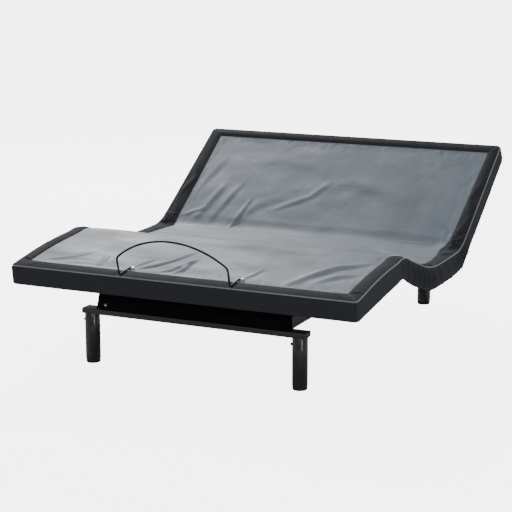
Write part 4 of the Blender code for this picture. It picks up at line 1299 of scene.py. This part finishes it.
        edge = outer - out * shoulder
        for i in range(self.TOP_ROWS):
            share = i / (self.TOP_ROWS - 1)
            plan = inner + (edge - inner) * share
            puff = 0.0045 * math.sin(math.pi * share) ** 0.8 * self.pressed(plan)
            tucked = 0.0016 * (1 - share) ** 6
            folds = sum(fold.relief(np.abs(plan[:, 0]), plan[:, 1]) for fold in self.TOP_FOLDS)
            held = math.sin(math.pi * (0.08 + 0.84 * share))
            bunched = self.bunching(plan[:, 0], plan[:, 1])
            lift = self.shape.lift(plan[:, 0], plan[:, 1])
            row(plan, lift + puff - tucked + held * (1.5 * folds + bunched))
        lift = self.shape.lift(outer[:, 0], outer[:, 1])
        for a in np.linspace(0, math.pi / 2, 6)[1:]:
            plan = edge + out * shoulder * math.sin(a)
            row(plan, lift - shoulder * (1 - math.cos(a)))
        for i in range(1, self.SKIRT_ROWS + 1):
            down = i / self.SKIRT_ROWS
            relief = self.skirt_relief(outer[:, 0], outer[:, 1], np.full(len(outer), down))
            height = (1 - down) * (lift - shoulder) + down * (-depth + 0.003)
            row(outer + out * relief[:, None], height)
        last = self.skirt_relief(outer[:, 0], outer[:, 1], np.ones(len(outer)))
        band_low = -DECK.band_depth - 0.0022
        for inset, rise in ((-0.0006, 0.0), (0.003, -0.0018), (0.008, -0.002)):
            row(outer + out * (last * (1 - max(inset, 0) / 0.010) - inset)[:, None], -depth - rise - 0.001)
        for share in (0.5, 1.0):
            inset = 0.008 + (self.HEM_DEPTH - 0.008) * share
            row(outer - out * inset, (-depth + 0.001) * (1 - share) + band_low * share)
        points = np.stack(rows)
        steps = np.linalg.norm(np.diff(points, axis=0), axis=2).mean(axis=1)
        across = np.concatenate([[0], np.cumsum(steps)])
        uv = np.stack(np.broadcast_arrays(run[None, :], across[:, None]), axis=-1)
        return points, uv

    def build(self, zone: Zone) -> list[bpy.types.Object]:
        """Makes the strips of one stretch."""
        pieces = []
        strips = self.plan(zone)
        for (outer, inner), side in zip(strips, ("right", "left")):
            name = f"border_cover_{zone.name}" + (f"_{side}" if len(strips) > 1 else "")
            points, uv = self.strip(outer, inner)
            mesh = grid_mesh(name, zone.bend(points), uv)
            merged(mesh, 2e-5)
            mesh.shade_smooth()
            piece = link(name, mesh, Cloths.CHARCOAL)
            thickened(piece, self.WALL)
            zone.blend(piece, "charcoal_fabric")
            pieces.append(piece)
        return pieces

    def edge_path(self, outer: np.ndarray, inset: float, sink: float) -> np.ndarray:
        """A line along the top edge of the cover, on the flat cover."""
        out = self.outwards(outer)
        plan = outer - out * inset
        height = DECK.top_z + self.shape.lift(outer[:, 0], outer[:, 1]) - sink
        return np.stack([plan[:, 0], plan[:, 1], height], axis=-1)


class Trim:
    """The piping along the cover's edges, and the stitches along its seams."""

    PIPING_RADIUS = 0.0024
    STITCH_LENGTH = 0.0065
    STITCH_PITCH = 0.0100
    STITCH_RADIUS = 0.00055

    def __init__(self, border: BorderCover) -> None:
        """Keeps the border that the trim is sewn to.

        Args:
            border: the cover's border.
        """
        self.border = border

    def piping(self, zone: Zone) -> None:
        """Lays the cord along the top edge of one stretch."""
        strips = self.border.plan(zone)
        for (outer, _), side in zip(strips, ("right", "left")):
            name = f"edge_piping_{zone.name}" + (f"_{side}" if len(strips) > 1 else "")
            path = self.border.edge_path(outer, 0.0012, 0.0014)
            piece = link(name, tube_mesh(name, zone.bend(path), self.PIPING_RADIUS, 10), Cloths.PIPING)
            zone.blend(piece, "charcoal_fabric")

    def corner_piping(self, zone: Zone, body: str) -> None:
        """Lays a short cord down each corner of the skirt."""
        radius = self.border.shape.corner_radius
        way = 1 if zone.name == "foot" else -1
        near = zone.span[0] if way > 0 else zone.span[1]
        for side, sign in SIDES:
            out = radius + 0.0008
            x = sign * (self.border.outer_x - radius + 0.7071 * out)
            y = near - way * self.border.shape.stand_off + way * (radius - 0.7071 * out)
            down = np.linspace(0.0045, DECK.band_depth + 0.0030, 14)
            path = np.stack([down * 0 + x, down * 0 + y, DECK.top_z - down], axis=-1)
            name = f"corner_piping_{zone.name}_{side}"
            piece = link(name, tube_mesh(name, zone.bend(path), self.PIPING_RADIUS * 0.85, 10), Cloths.PIPING)
            ride(piece, body, "charcoal_fabric")

    def mitre_seams(self, zone: Zone, body: str) -> None:
        """Sews each corner of the border along its mitre, from the grip cloth to the outer edge."""
        shape = self.border.shape
        way = 1 if zone.name == "foot" else -1
        near = zone.span[0] if way > 0 else zone.span[1]
        inner_y = near + way * (shape.border_foot if way > 0 else shape.border_head)
        paths = []
        for sign in (1, -1):
            share = np.linspace(0.04, 0.98, 24)
            inner = np.array([sign * shape.seam_x(inner_y, sign), inner_y])
            reach = self.border.outer_x - shape.corner_radius * 0.34
            outer = np.array([sign * reach, near + way * shape.corner_radius * 0.34])
            plan = inner + (outer - inner) * share[:, None]
            height = shape.lift(plan[:, 0], plan[:, 1]) + 0.0045 * np.sin(np.pi * share) ** 0.8 - 0.0004
            height = height - 0.0035 * smoothstep((share - 0.86) / 0.14)
            paths.append(zone.bend(np.column_stack([plan, DECK.top_z + height])))
        for path, side in zip(paths, ("right", "left")):
            name = f"mitre_welt_{zone.name}_{side}"
            welt = link(name, tube_mesh(name, path, 0.0011, 8), Cloths.THREAD)
            ride(welt, body, "charcoal_fabric")

    def seam_stitches(self, zone: Zone) -> None:
        """Sews the border to the grip cloth along one stretch."""
        item = Items.stitch(self.STITCH_LENGTH, self.STITCH_RADIUS)
        paths = []
        for outer, inner in self.border.plan(zone):
            away = outer - inner
            away /= np.linalg.norm(away, axis=1)[:, None]
            plan = inner + away * 0.006
            keep = np.concatenate([[True], np.linalg.norm(np.diff(plan, axis=0), axis=1) > 1e-4])
            plan = plan[keep]
            share = 0.1
            puff = 0.0045 * math.sin(math.pi * share) ** 0.8 - 0.0016 * (1 - share) ** 6
            height = DECK.top_z + self.border.shape.lift(plan[:, 0], plan[:, 1]) + puff + 0.0001
            paths.append(zone.bend(np.stack([plan[:, 0], plan[:, 1], height], axis=-1)))
        name = f"seam_stitches_{zone.name}"
        piece = Repeater.along(name, paths, item, self.STITCH_PITCH, Cloths.THREAD)
        zone.blend(piece, "charcoal_fabric")


class Upholstery:
    """The whole cover: grip cloth, border, piping and stitches over the three stretches of the deck."""

    def __init__(self) -> None:
        """Sets up the cover's parts."""
        self.shape = CoverShape()
        self.grip = GripTop(self.shape)
        self.border = BorderCover(self.shape)
        self.trim = Trim(self.border)

    def build(self) -> None:
        """Makes every piece of the cover."""
        ends = {"foot": "foot_section", "head": "head_section"}
        for zone in zones():
            self.grip.build(zone)
            self.border.build(zone)
            self.trim.piping(zone)
            self.trim.seam_stitches(zone)
            if zone.name in ends:
                self.trim.corner_piping(zone, ends[zone.name])
                self.trim.mitre_seams(zone, ends[zone.name])


# ---- CAD solids with softened edges ----


@dataclass(frozen=True)
class Dressed:
    """A CAD solid shown with rounded edges and its own finish."""

    node: str
    body: str
    finish: Enum
    slot: str
    edge: float = 0.0010

    def build(self) -> bpy.types.Object:
        """Copies the solid, joins its loose triangles, rounds its edges and stands for it."""
        mesh = frame["nodes"][self.node].data.copy()
        mesh.name = f"{self.node}_shown"
        bm = bmesh.new()
        bm.from_mesh(mesh)
        bmesh.ops.remove_doubles(bm, verts=bm.verts, dist=1e-5)
        bmesh.ops.dissolve_limit(bm, angle_limit=math.radians(1.0), verts=bm.verts, edges=bm.edges)
        bm.to_mesh(mesh)
        bm.free()
        if "custom_normal" in mesh.attributes:
            mesh.attributes.remove(mesh.attributes["custom_normal"])
        piece = link(f"{self.node}_shown", mesh, self.finish)
        bevel = piece.modifiers.new("rounded_edges", "BEVEL")
        bevel.width = self.edge
        bevel.segments = 2
        bevel.limit_method = "ANGLE"
        bevel.angle_limit = math.radians(38)
        bevel.use_clamp_overlap = True
        bevel.harden_normals = False
        evaluated(piece)
        soften(piece.data, 38.0)
        return ride(piece, self.body, self.slot, self.node)


def body_of(node: str) -> str:
    """The body that a CAD node belongs to."""
    return frame["nodes"][node]["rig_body"]


class Steelwork:
    """The legged frame, the deck's bars and levers, and the links, with their bolts and pins."""

    PLAIN = (
        "side_rail_left",
        "side_rail_right",
        "head_cross_member",
        "front_drive_bar",
        "rear_drive_bar",
        "foot_leg_crossbar",
        "head_leg_crossbar",
        "seat_side_plate_left",
        "seat_side_plate_right",
        "seat_cross_rail_front",
        "seat_cross_rail_rear",
        "head_frame_bar_left",
        "head_frame_bar_right",
        "head_lever_tube",
        "head_end_tube",
        "thigh_frame_bar_left",
        "thigh_frame_bar_right",
        "thigh_lever_tube",
        "foot_frame_bar_left",
        "foot_frame_bar_right",
        "foot_cross_tube",
        "foot_link_left",
        "foot_link_right",
    )
    BOLT_RADIUS = 0.0055
    BOLT_HEIGHT = 0.0045

    def build(self) -> None:
        """Makes the frame's pieces."""
        for node in self.PLAIN:
            # The crossbars take the paler copy of the frame enamel, which is painted light.
            finish = Metals.CROSSBAR if node.endswith("leg_crossbar") else Metals.FRAME
            Dressed(node, body_of(node), finish, "frame_enamel", 0.0012).build()
        # The apron takes the near-black copy of the frame enamel, which is painted shade.
        Dressed("foot_apron", "base_frame", Metals.APRON, "frame_enamel", 0.0012).build()
        self.bolts()
        self.pins()
        self.end_caps()

    def bolts(self) -> None:
        """Bolts the apron to its rails and the crossbars to the frame."""
        low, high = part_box("foot_apron")
        run, share = 0.022, 0.30
        slant = math.atan2(run, high.z - low.z)
        facing = Vector((0, -math.cos(slant), math.sin(slant)))
        spot = Vector((low.x + 0.040, low.y + run * share, low.z + (high.z - low.z) * share))
        apron = Repeater.at(
            "apron_bolts",
            [(spot, facing)],
            Items.bolt_head(0.0036, 0.0034),
            Metals.ZINC,
        )
        ride(apron, "base_frame", "rod_steel")
        spots = []
        for bar in ("foot_leg_crossbar", "head_leg_crossbar"):
            bar_low, bar_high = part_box(bar)
            rail_low, rail_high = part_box("side_rail_right")
            middle_x = (rail_low.x + rail_high.x) / 2
            for sign in (-1, 1):
                for y in (bar_low.y + 0.016, bar_high.y - 0.016):
                    spots.append((Vector((sign * middle_x, y, bar_low.z)), Vector((0, 0, -1))))
        item = Items.bolt_head(self.BOLT_RADIUS, self.BOLT_HEIGHT)
        ride(Repeater.at("frame_bolts", spots, item, Metals.FRAME), "base_frame", "frame_enamel")

    def pins(self) -> None:
        """Peens the ends of the hinge pins on the outer faces of the seat plates and the links."""
        item = Items.rivet(0.0078, 0.0035)
        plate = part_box("seat_side_plate_right")[1].x
        spots = []
        for y, z in (DECK.seat, DECK.hip):
            for sign in (-1, 1):
                spots.append((Vector((sign * (plate - 0.0002), y, z)), Vector((sign, 0, 0))))
        for sign in (-1, 1):
            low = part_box("foot_link_right")[0].x
            link_axis = next(j for j in frame["joints"] if j["name"] == "foot_link_swing")["pos_m"]
            inner = low - 0.0085
            spots.append((Vector((sign * inner, link_axis[1], link_axis[2])), Vector((-sign, 0, 0))))
        ride(Repeater.at("hinge_pin_ends", spots, item, Metals.ZINC), "base_frame", "rod_steel")

    def end_caps(self) -> None:
        """Closes the open ends of the leg crossbars with plastic caps."""
        for bar in ("foot_leg_crossbar", "head_leg_crossbar"):
            low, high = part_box(bar)
            for side, sign in SIDES:
                cap = bmesh.new()
                bmesh.ops.create_cube(cap, size=1.0)
                size = Vector((0.010, high.y - low.y - 0.0052, high.z - low.z - 0.0052))
                face_x = sign * (high.x - 0.0042)
                centre = Vector((face_x, (low.y + high.y) / 2, (low.z + high.z) / 2))
                bmesh.ops.scale(cap, vec=size, verts=cap.verts)
                bmesh.ops.translate(cap, vec=centre, verts=cap.verts)
                mesh = bpy.data.meshes.new("cap")
                cap.to_mesh(mesh)
                cap.free()
                name = f"{bar}_cap_{side}"
                piece = link(name, mesh, Plastics.BOX)
                bevel = piece.modifiers.new("rounded", "BEVEL")
                bevel.width = 0.0012
                bevel.segments = 3
                evaluated(piece)
                soften(piece.data)
                ride(piece, "base_frame", "box_plastic")


@dataclass
class Leg:
    """One round leg with its glide and the knob that locks it."""

    end: str
    side: str
    sign: int
    knob_height: float = 0.181
    knob_radius: float = 0.0058
    knob_length: float = 0.0085
    round_over: float = 0.0016

    def build(self) -> None:
        """Makes the leg tube, the glide and the knob."""
        node = f"{self.end}_leg_{self.side}"
        low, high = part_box(node)
        centre = (low + high) / 2
        radius = (high.x - low.x) / 2
        r = self.round_over
        wall = 0.003
        tube = lathed(
            f"{node}_shown",
            [
                (0, high.z),
                (radius - r, high.z),
                (radius - 0.3 * r, high.z - 0.3 * r),
                (radius, high.z - r),
                (radius, low.z + r),
                (radius - 0.3 * r, low.z + 0.3 * r),
                (radius - r, low.z),
                (radius - wall, low.z),
                (radius - wall, high.z - wall),
                (0, high.z - wall),
            ],
            72,
        )
        self._place(tube, centre)
        ride(link(f"{node}_shown", tube, Metals.LEG), "base_frame", "leg_enamel", node)

        glide = f"{self.end}_glide_{self.side}"
        g_low, g_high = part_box(glide)
        g_radius = (g_high.x - g_low.x) / 2
        seat = low.z - 0.0003
        foot = lathed(
            f"{glide}_shown",
            [
                (0, g_high.z),
                (radius - wall - 0.0004, g_high.z),
                (radius - wall - 0.0004, seat),
                (g_radius - 0.001, seat),
                (g_radius, seat - 0.001),
                (g_radius, 0.0075),
                (g_radius - 0.0008, 0.0065),
                (g_radius - 0.0008, 0.0055),
                (g_radius, 0.0045),
                (g_radius, 0.0022),
                (g_radius - 0.0022, 0.0),
                (0, 0.0),
            ],
            72,
        )
        self._place(foot, centre)
        ride(link(f"{glide}_shown", foot, Plastics.RUBBER), "base_frame", "glide_rubber", glide)

        knob = lathed(
            f"{self.end}_leg_knob_{self.side}",
            [
                (0, self.knob_length),
                (self.knob_radius * 0.8, self.knob_length),
                (self.knob_radius, self.knob_length * 0.8),
                (self.knob_radius, self.knob_length * 0.35),
                (self.knob_radius * 0.55, self.knob_length * 0.28),
                (self.knob_radius * 0.55, -0.001),
                (0, -0.001),
            ],
            28,
        )
        knob.transform(Matrix.Rotation(-math.pi / 2, 4, "Y"))
        knob.transform(Matrix.Translation((centre.x - radius, centre.y, self.knob_height)))
        ride(link(f"{self.end}_leg_knob_{self.side}", knob, Plastics.KNOB), "base_frame", "box_plastic")

    @staticmethod
    def _place(mesh: bpy.types.Mesh, centre: Vector) -> None:
        """Moves a turned mesh onto the leg's own axis."""
        mesh.transform(Matrix.Translation((centre.x, centre.y, 0)))


# ---- mattress retainer ----


@dataclass
class Retainer:
    """The bent wire at the foot end, whose ends hook down through the cover beside bright clips."""

    sides: int = 14
    bend_radius: float = 0.013
    hook_drop: float = 0.016

    def path(self) -> tuple[np.ndarray, float]:
        """The wire's centreline and radius, from the solid that it stands for.

        Returns:
            Points on the raised deck, and the wire's radius.
        """
        zone = zones()[0]
        start, end = (Vector(point) for point in zone.ends())
        foot_angle = DECK.knee_angle - DECK.thigh_angle
        along = Vector((0, math.cos(foot_angle), math.sin(foot_angle)))
        up = Vector((0, -math.sin(foot_angle), math.cos(foot_angle)))
        verts = [v.co.copy() for v in frame["nodes"]["retainer_bar"].data.vertices]
        low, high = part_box("retainer_bar")
        radius = 0.004
        middle = (low.x + high.x) / 2
        half = (high.x - low.x) / 2 - radius
        top = max(verts, key=lambda v: v.dot(up)).dot(up) - radius
        deck = min(verts, key=lambda v: v.dot(up)).dot(up) + radius
        tail = max(verts, key=lambda v: v.dot(along)).dot(along)
        shoulders = [v for v in verts if v.x > middle + half - 0.002 and v.z > low.z + 0.05]
        shoulder = max(v.dot(up) for v in shoulders) - 0.006
        feet = [v for v in verts if v.x > middle + half - radius * 0.5 and v.dot(up) < deck + radius]
        front = min(v.dot(along) for v in feet) + radius
        crown = max(verts, key=lambda v: v.z)
        lean = (front - (crown.dot(along))) / (top - deck)

        def at(x: float, rise: float, back: float = 0.0) -> Vector:
            """A point on the bar's leaning plane, by its place across and its height over the deck."""
            return Vector((middle + x, 0, 0)) + along * (front + back - lean * rise) + up * (deck + rise)

        rise = top - shoulder
        curve = (half**2 + rise**2) / (2 * rise)
        spread = math.asin(half / curve)
        crown_points = []
        steps = 28
        for i in range(steps + 1):
            a = spread * (1 - 2 * i / steps)
            crown_points.append(at(-curve * math.sin(a), top - deck - curve * (1 - math.cos(a))))
        leg = tail - front
        corners = [
            at(-half, -self.hook_drop, leg - 0.004),
            at(-half, 0.002, leg - 0.006),
            at(-half, 0, 0),
            *crown_points,
            at(half, 0, 0),
            at(half, 0.002, leg - 0.006),
            at(half, -self.hook_drop, leg - 0.004),
        ]
        sharp = {1: 0.007, 2: self.bend_radius, 3: 0.020}
        sharp |= {len(corners) - 1 - i: size for i, size in sharp.items()}
        points: list[Vector] = [corners[0]]
        for i in range(1, len(corners) - 1):
            if i not in sharp:
                points.append(corners[i])
                continue
            here, size = corners[i], sharp[i]
            before, after = corners[i - 1] - here, corners[i + 1] - here
            before = before.normalized() * min(size, before.length * 0.48)
            after = after.normalized() * min(size, after.length * 0.48)
            for t in np.linspace(0, 1, 8):
                points.append(here + before * (1 - t) ** 2 + after * t**2)
        points.append(corners[-1])
        return np.array([tuple(p) for p in points]), radius

    def build(self) -> None:
        """Makes the wire, its clips and the washers where it goes into the cover."""
        path, radius = self.path()
        wire = link("retainer_wire", tube_mesh("retainer_wire", path, radius, self.sides), Metals.WIRE)
        ride(wire, "foot_section", "retainer_wire", "retainer_bar")
        foot_angle = DECK.knee_angle - DECK.thigh_angle
        tilt = Matrix.Rotation(foot_angle, 4, "X")
        for side, sign in SIDES:
            hook = Vector(path[0] if sign < 0 else path[-1])
            hook += tilt @ Vector((0, 0, self.hook_drop - 0.0030))
            self._washer(f"retainer_washer_{side}", hook, tilt)
            self._clip(f"retainer_clip_{side}", hook + tilt @ Vector((0.013, -0.004, 0)), tilt)

    def _washer(self, name: str, centre: Vector, tilt: Matrix) -> None:
        """A pressed ring round the hole in the cover."""
        ring = [
            (0.0045, 0.0012),
            (0.0062, 0.0024),
            (0.0090, 0.0022),
            (0.0112, 0.0008),
            (0.0112, 0.0),
            (0.0045, 0.0),
            (0.0045, 0.0012),
        ]
        mesh = lathed(name, ring, 40)
        mesh.transform(Matrix.Translation(centre) @ tilt)
        ride(link(name, mesh, Metals.ZINC), "foot_section", "rod_steel")

    def _clip(self, name: str, centre: Vector, tilt: Matrix) -> None:
        """A short bright strap that keeps the wire's end from turning."""
        outline = []
        half, wide, thick = 0.0105, 0.0042, 0.0014
        for i in range(13):
            t = i / 12
            y = -half + 2 * half * t
            z = 0.0006 + 0.0052 * math.sin(math.pi * t) ** 0.8
            outline.append((y, z))
        rows = []
        for x in (-wide, wide):
            rows.append([(x, y, z + thick) for y, z in outline])
        points = np.array(rows)
        mesh = grid_mesh(name, points, points[..., :2])
        piece = link(name, mesh, Metals.ZINC)
        merged(mesh)
        thickened(piece, thick)
        piece.data.transform(Matrix.Translation(centre) @ tilt)
        soften(piece.data)
        ride(piece, "foot_section", "rod_steel")


# ---- deck boards, bands, drives and boxes ----


class Underside:
    """The boards and bands that the cover is stretched over."""

    def build(self) -> None:
        """Gives the boards their plywood and the bands their lining."""
        for section in ("foot", "thigh", "seat", "head"):
            board = f"{section}_deck_board"
            Dressed(board, body_of(board), Plastics.BOARD, "deck_wood", 0.0010).build()
            bands = [f"{section}_side_band_{side}" for side, _ in SIDES]
            if section in ("foot", "head"):
                bands.append(f"{section}_end_band")
            for band in bands:
                self._lined(band)

    @staticmethod
    def _lined(node: str) -> None:
        """Covers one band in lining, with a cloth map by its own faces."""
        mesh = frame["nodes"][node].data.copy()
        mesh.name = f"{node}_shown"
        merged(mesh)
        if "custom_normal" in mesh.attributes:
            mesh.attributes.remove(mesh.attributes["custom_normal"])
        while mesh.uv_layers:
            mesh.uv_layers.remove(mesh.uv_layers[0])
        layer = mesh.uv_layers.new(name=CLOTH_UV)
        for polygon in mesh.polygons:
            axis = max(range(3), key=lambda i: abs(polygon.normal[i]))
            first, second = [i for i in range(3) if i != axis]
            for loop in polygon.loop_indices:
                co = mesh.vertices[mesh.loops[loop].vertex_index].co
                layer.data[loop].uv = (co[first], co[second])
        piece = link(f"{node}_shown", mesh, Cloths.LINING)
        soften(mesh)
        ride(piece, body_of(node), "charcoal_fabric", node)


class Drives:
    """The two actuators and their rods."""

    def build(self) -> None:
        """Makes the housings and the rods."""
        for name in ("head_actuator", "foot_actuator"):
            Dressed(f"{name}_body", name, Plastics.DRIVE, "drive_housing", 0.0020).build()
            Dressed(f"{name}_rod", f"{name}_rod", Metals.ROD, "rod_steel", 0.0010).build()


@dataclass
class Box:
    """An electrical box under the seat board, with cooling ribs and screws."""

    node: str
    ribs: int
    rib_width: float = 0.0030
    rib_height: float = 0.0016

    def build(self) -> None:
        """Makes the box, its ribs and its screws."""
        Dressed(self.node, "base_frame", Plastics.BOX, "box_plastic", 0.0012).build()
        low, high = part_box(self.node)
        centre = (low + high) / 2
        span = (high.y - low.y) * 0.56
        bars = bmesh.new()
        for i in range(self.ribs):
            y = centre.y - span / 2 + span * i / (self.ribs - 1)
            made = bmesh.ops.create_cube(bars, size=1.0)["verts"]
            size = ((high.x - low.x) * 0.62, self.rib_width, self.rib_height * 2)
            bmesh.ops.scale(bars, vec=size, verts=made)
            bmesh.ops.translate(bars, vec=(centre.x, y, low.z), verts=made)
        mesh = bpy.data.meshes.new(f"{self.node}_ribs")
        bars.to_mesh(mesh)
        bars.free()
        piece = link(f"{self.node}_ribs", mesh, Plastics.BOX)
        bevel = piece.modifiers.new("rounded", "BEVEL")
        bevel.width = 0.0006
        bevel.segments = 2
        evaluated(piece)
        soften(piece.data)
        ride(piece, "base_frame", "box_plastic")
        spots = [
            (Vector((x, y, low.z + 0.0002)), Vector((0, 0, -1)))
            for x in (low.x + 0.008, high.x - 0.008)
            for y in (low.y + 0.010, high.y - 0.010)
        ]
        item = Items.bolt_head(0.0026, 0.0020)
        ride(Repeater.at(f"{self.node}_screws", spots, item, Metals.ZINC), "base_frame", "rod_steel")


# ---- studio ----


@dataclass
class Studio:
    """A pale floor, soft lights and the camera."""

    camera_place: tuple[float, float, float] = (2.7387, -6.1613, 1.8138)
    camera_tilt: float = 12.366
    camera_turn: float = 24.642
    lens: float = 108.16
    backdrop: float = 5.0
    ambient: float = 0.46

    def build(self) -> None:
        """Sets the stage."""
        self._floor()
        self._world()
        self._area("key_light", (-3.1, 3.7, 3.6), (-0.2, -0.2, 0.3), (1.5, 1.2), 250.0)
        self._area("fill_light", (2.4, -5.6, 2.0), (0.0, -0.4, 0.3), (3.0, 2.0), 40.0)
        self._area("strip_light", (3.6, -3.3, 1.0), (0.3, -0.6, 0.3), (0.10, 2.2), 22.0)
        self._area("rim_light", (5.0, 1.6, 1.6), (0.3, -0.3, 0.2), (0.5, 2.4), 44.0)
        self._area("left_light", (-4.4, -2.6, 1.4), (-0.2, -0.4, 0.3), (1.0, 2.0), 22.0)
        self._camera()

    def _floor(self) -> None:
        """A wide floor that looks white and lights the piece as a pale floor does."""
        sheet = NodeSheet("studio_floor")
        mottle = sheet.noise(sheet.place(), 1.2, 2.0)
        colour = sheet.tinted(mottle, shaded((1, 1, 1), 0.58), shaded((1, 1, 1), 0.62))
        seen = sheet.add("ShaderNodeLightPath").outputs["Is Camera Ray"]
        sheet.feed(sheet.shader.inputs["Emission Strength"], sheet.product(seen, self.backdrop))
        material = sheet.finish(colour, 0.9, Emission_Color=(1, 1, 1, 1))
        mesh = bpy.data.meshes.new("floor")
        reach = 60.0
        corners = [(-reach, -reach, 0), (reach, -reach, 0), (reach, reach, 0), (-reach, reach, 0)]
        mesh.from_pydata(corners, [], [(0, 1, 2, 3)])
        mesh.materials.append(material)
        floor = bpy.data.objects.new("floor", mesh)
        bpy.context.scene.collection.objects.link(floor)

    def _world(self) -> None:
        """A surrounding that looks white and lights the piece dimly."""
        world = bpy.data.worlds.new("studio")
        world.use_nodes = True
        nodes, links = world.node_tree.nodes, world.node_tree.links
        background = nodes["Background"]
        background.inputs["Color"].default_value = (0.93, 0.96, 1.0, 1)
        seen = nodes.new("ShaderNodeLightPath")
        strength = nodes.new("ShaderNodeMix")
        strength.inputs["A"].default_value = self.ambient
        strength.inputs["B"].default_value = self.backdrop
        links.new(seen.outputs["Is Camera Ray"], strength.inputs["Factor"])
        links.new(strength.outputs["Result"], background.inputs["Strength"])
        bpy.context.scene.world = world

    def _area(
        self,
        name: str,
        place: tuple[float, float, float],
        aim: tuple[float, float, float],
        size: tuple[float, float],
        energy: float,
    ) -> None:
        """A soft rectangular light.

        Args:
            name: the light's name.
            place: where it stands.
            aim: where it points.
            size: its width and height.
            energy: its power in watts.
        """
        light = bpy.data.lights.new(name, "AREA")
        light.shape = "RECTANGLE"
        light.size, light.size_y = size
        light.energy = energy
        holder = bpy.data.objects.new(name, light)
        holder.location = place
        holder.rotation_euler = (Vector(aim) - Vector(place)).to_track_quat("-Z", "Y").to_euler()
        bpy.context.scene.collection.objects.link(holder)

    def _camera(self) -> None:
        """The camera, level across and looking a little down."""
        lens = bpy.data.cameras.new("camera")
        lens.lens = self.lens
        lens.sensor_width = 36.0
        lens.clip_end = 200.0
        camera = bpy.data.objects.new("camera", lens)
        camera.location = self.camera_place
        camera.rotation_euler = (math.radians(90 - self.camera_tilt), 0, math.radians(self.camera_turn))
        bpy.context.scene.collection.objects.link(camera)
        bpy.context.scene.camera = camera


def main() -> None:
    """Builds the looks in order."""
    logging.basicConfig(level=logging.INFO, format="%(message)s")
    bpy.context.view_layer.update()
    Studio().build()
    Upholstery().build()
    Underside().build()
    Steelwork().build()
    for end in ("foot", "head"):
        for side, sign in SIDES:
            Leg(end, side, sign).build()
    Retainer().build()
    Drives().build()
    Box("control_box", 9).build()
    Box("power_supply", 11).build()


if __name__ == "__main__":
    main()
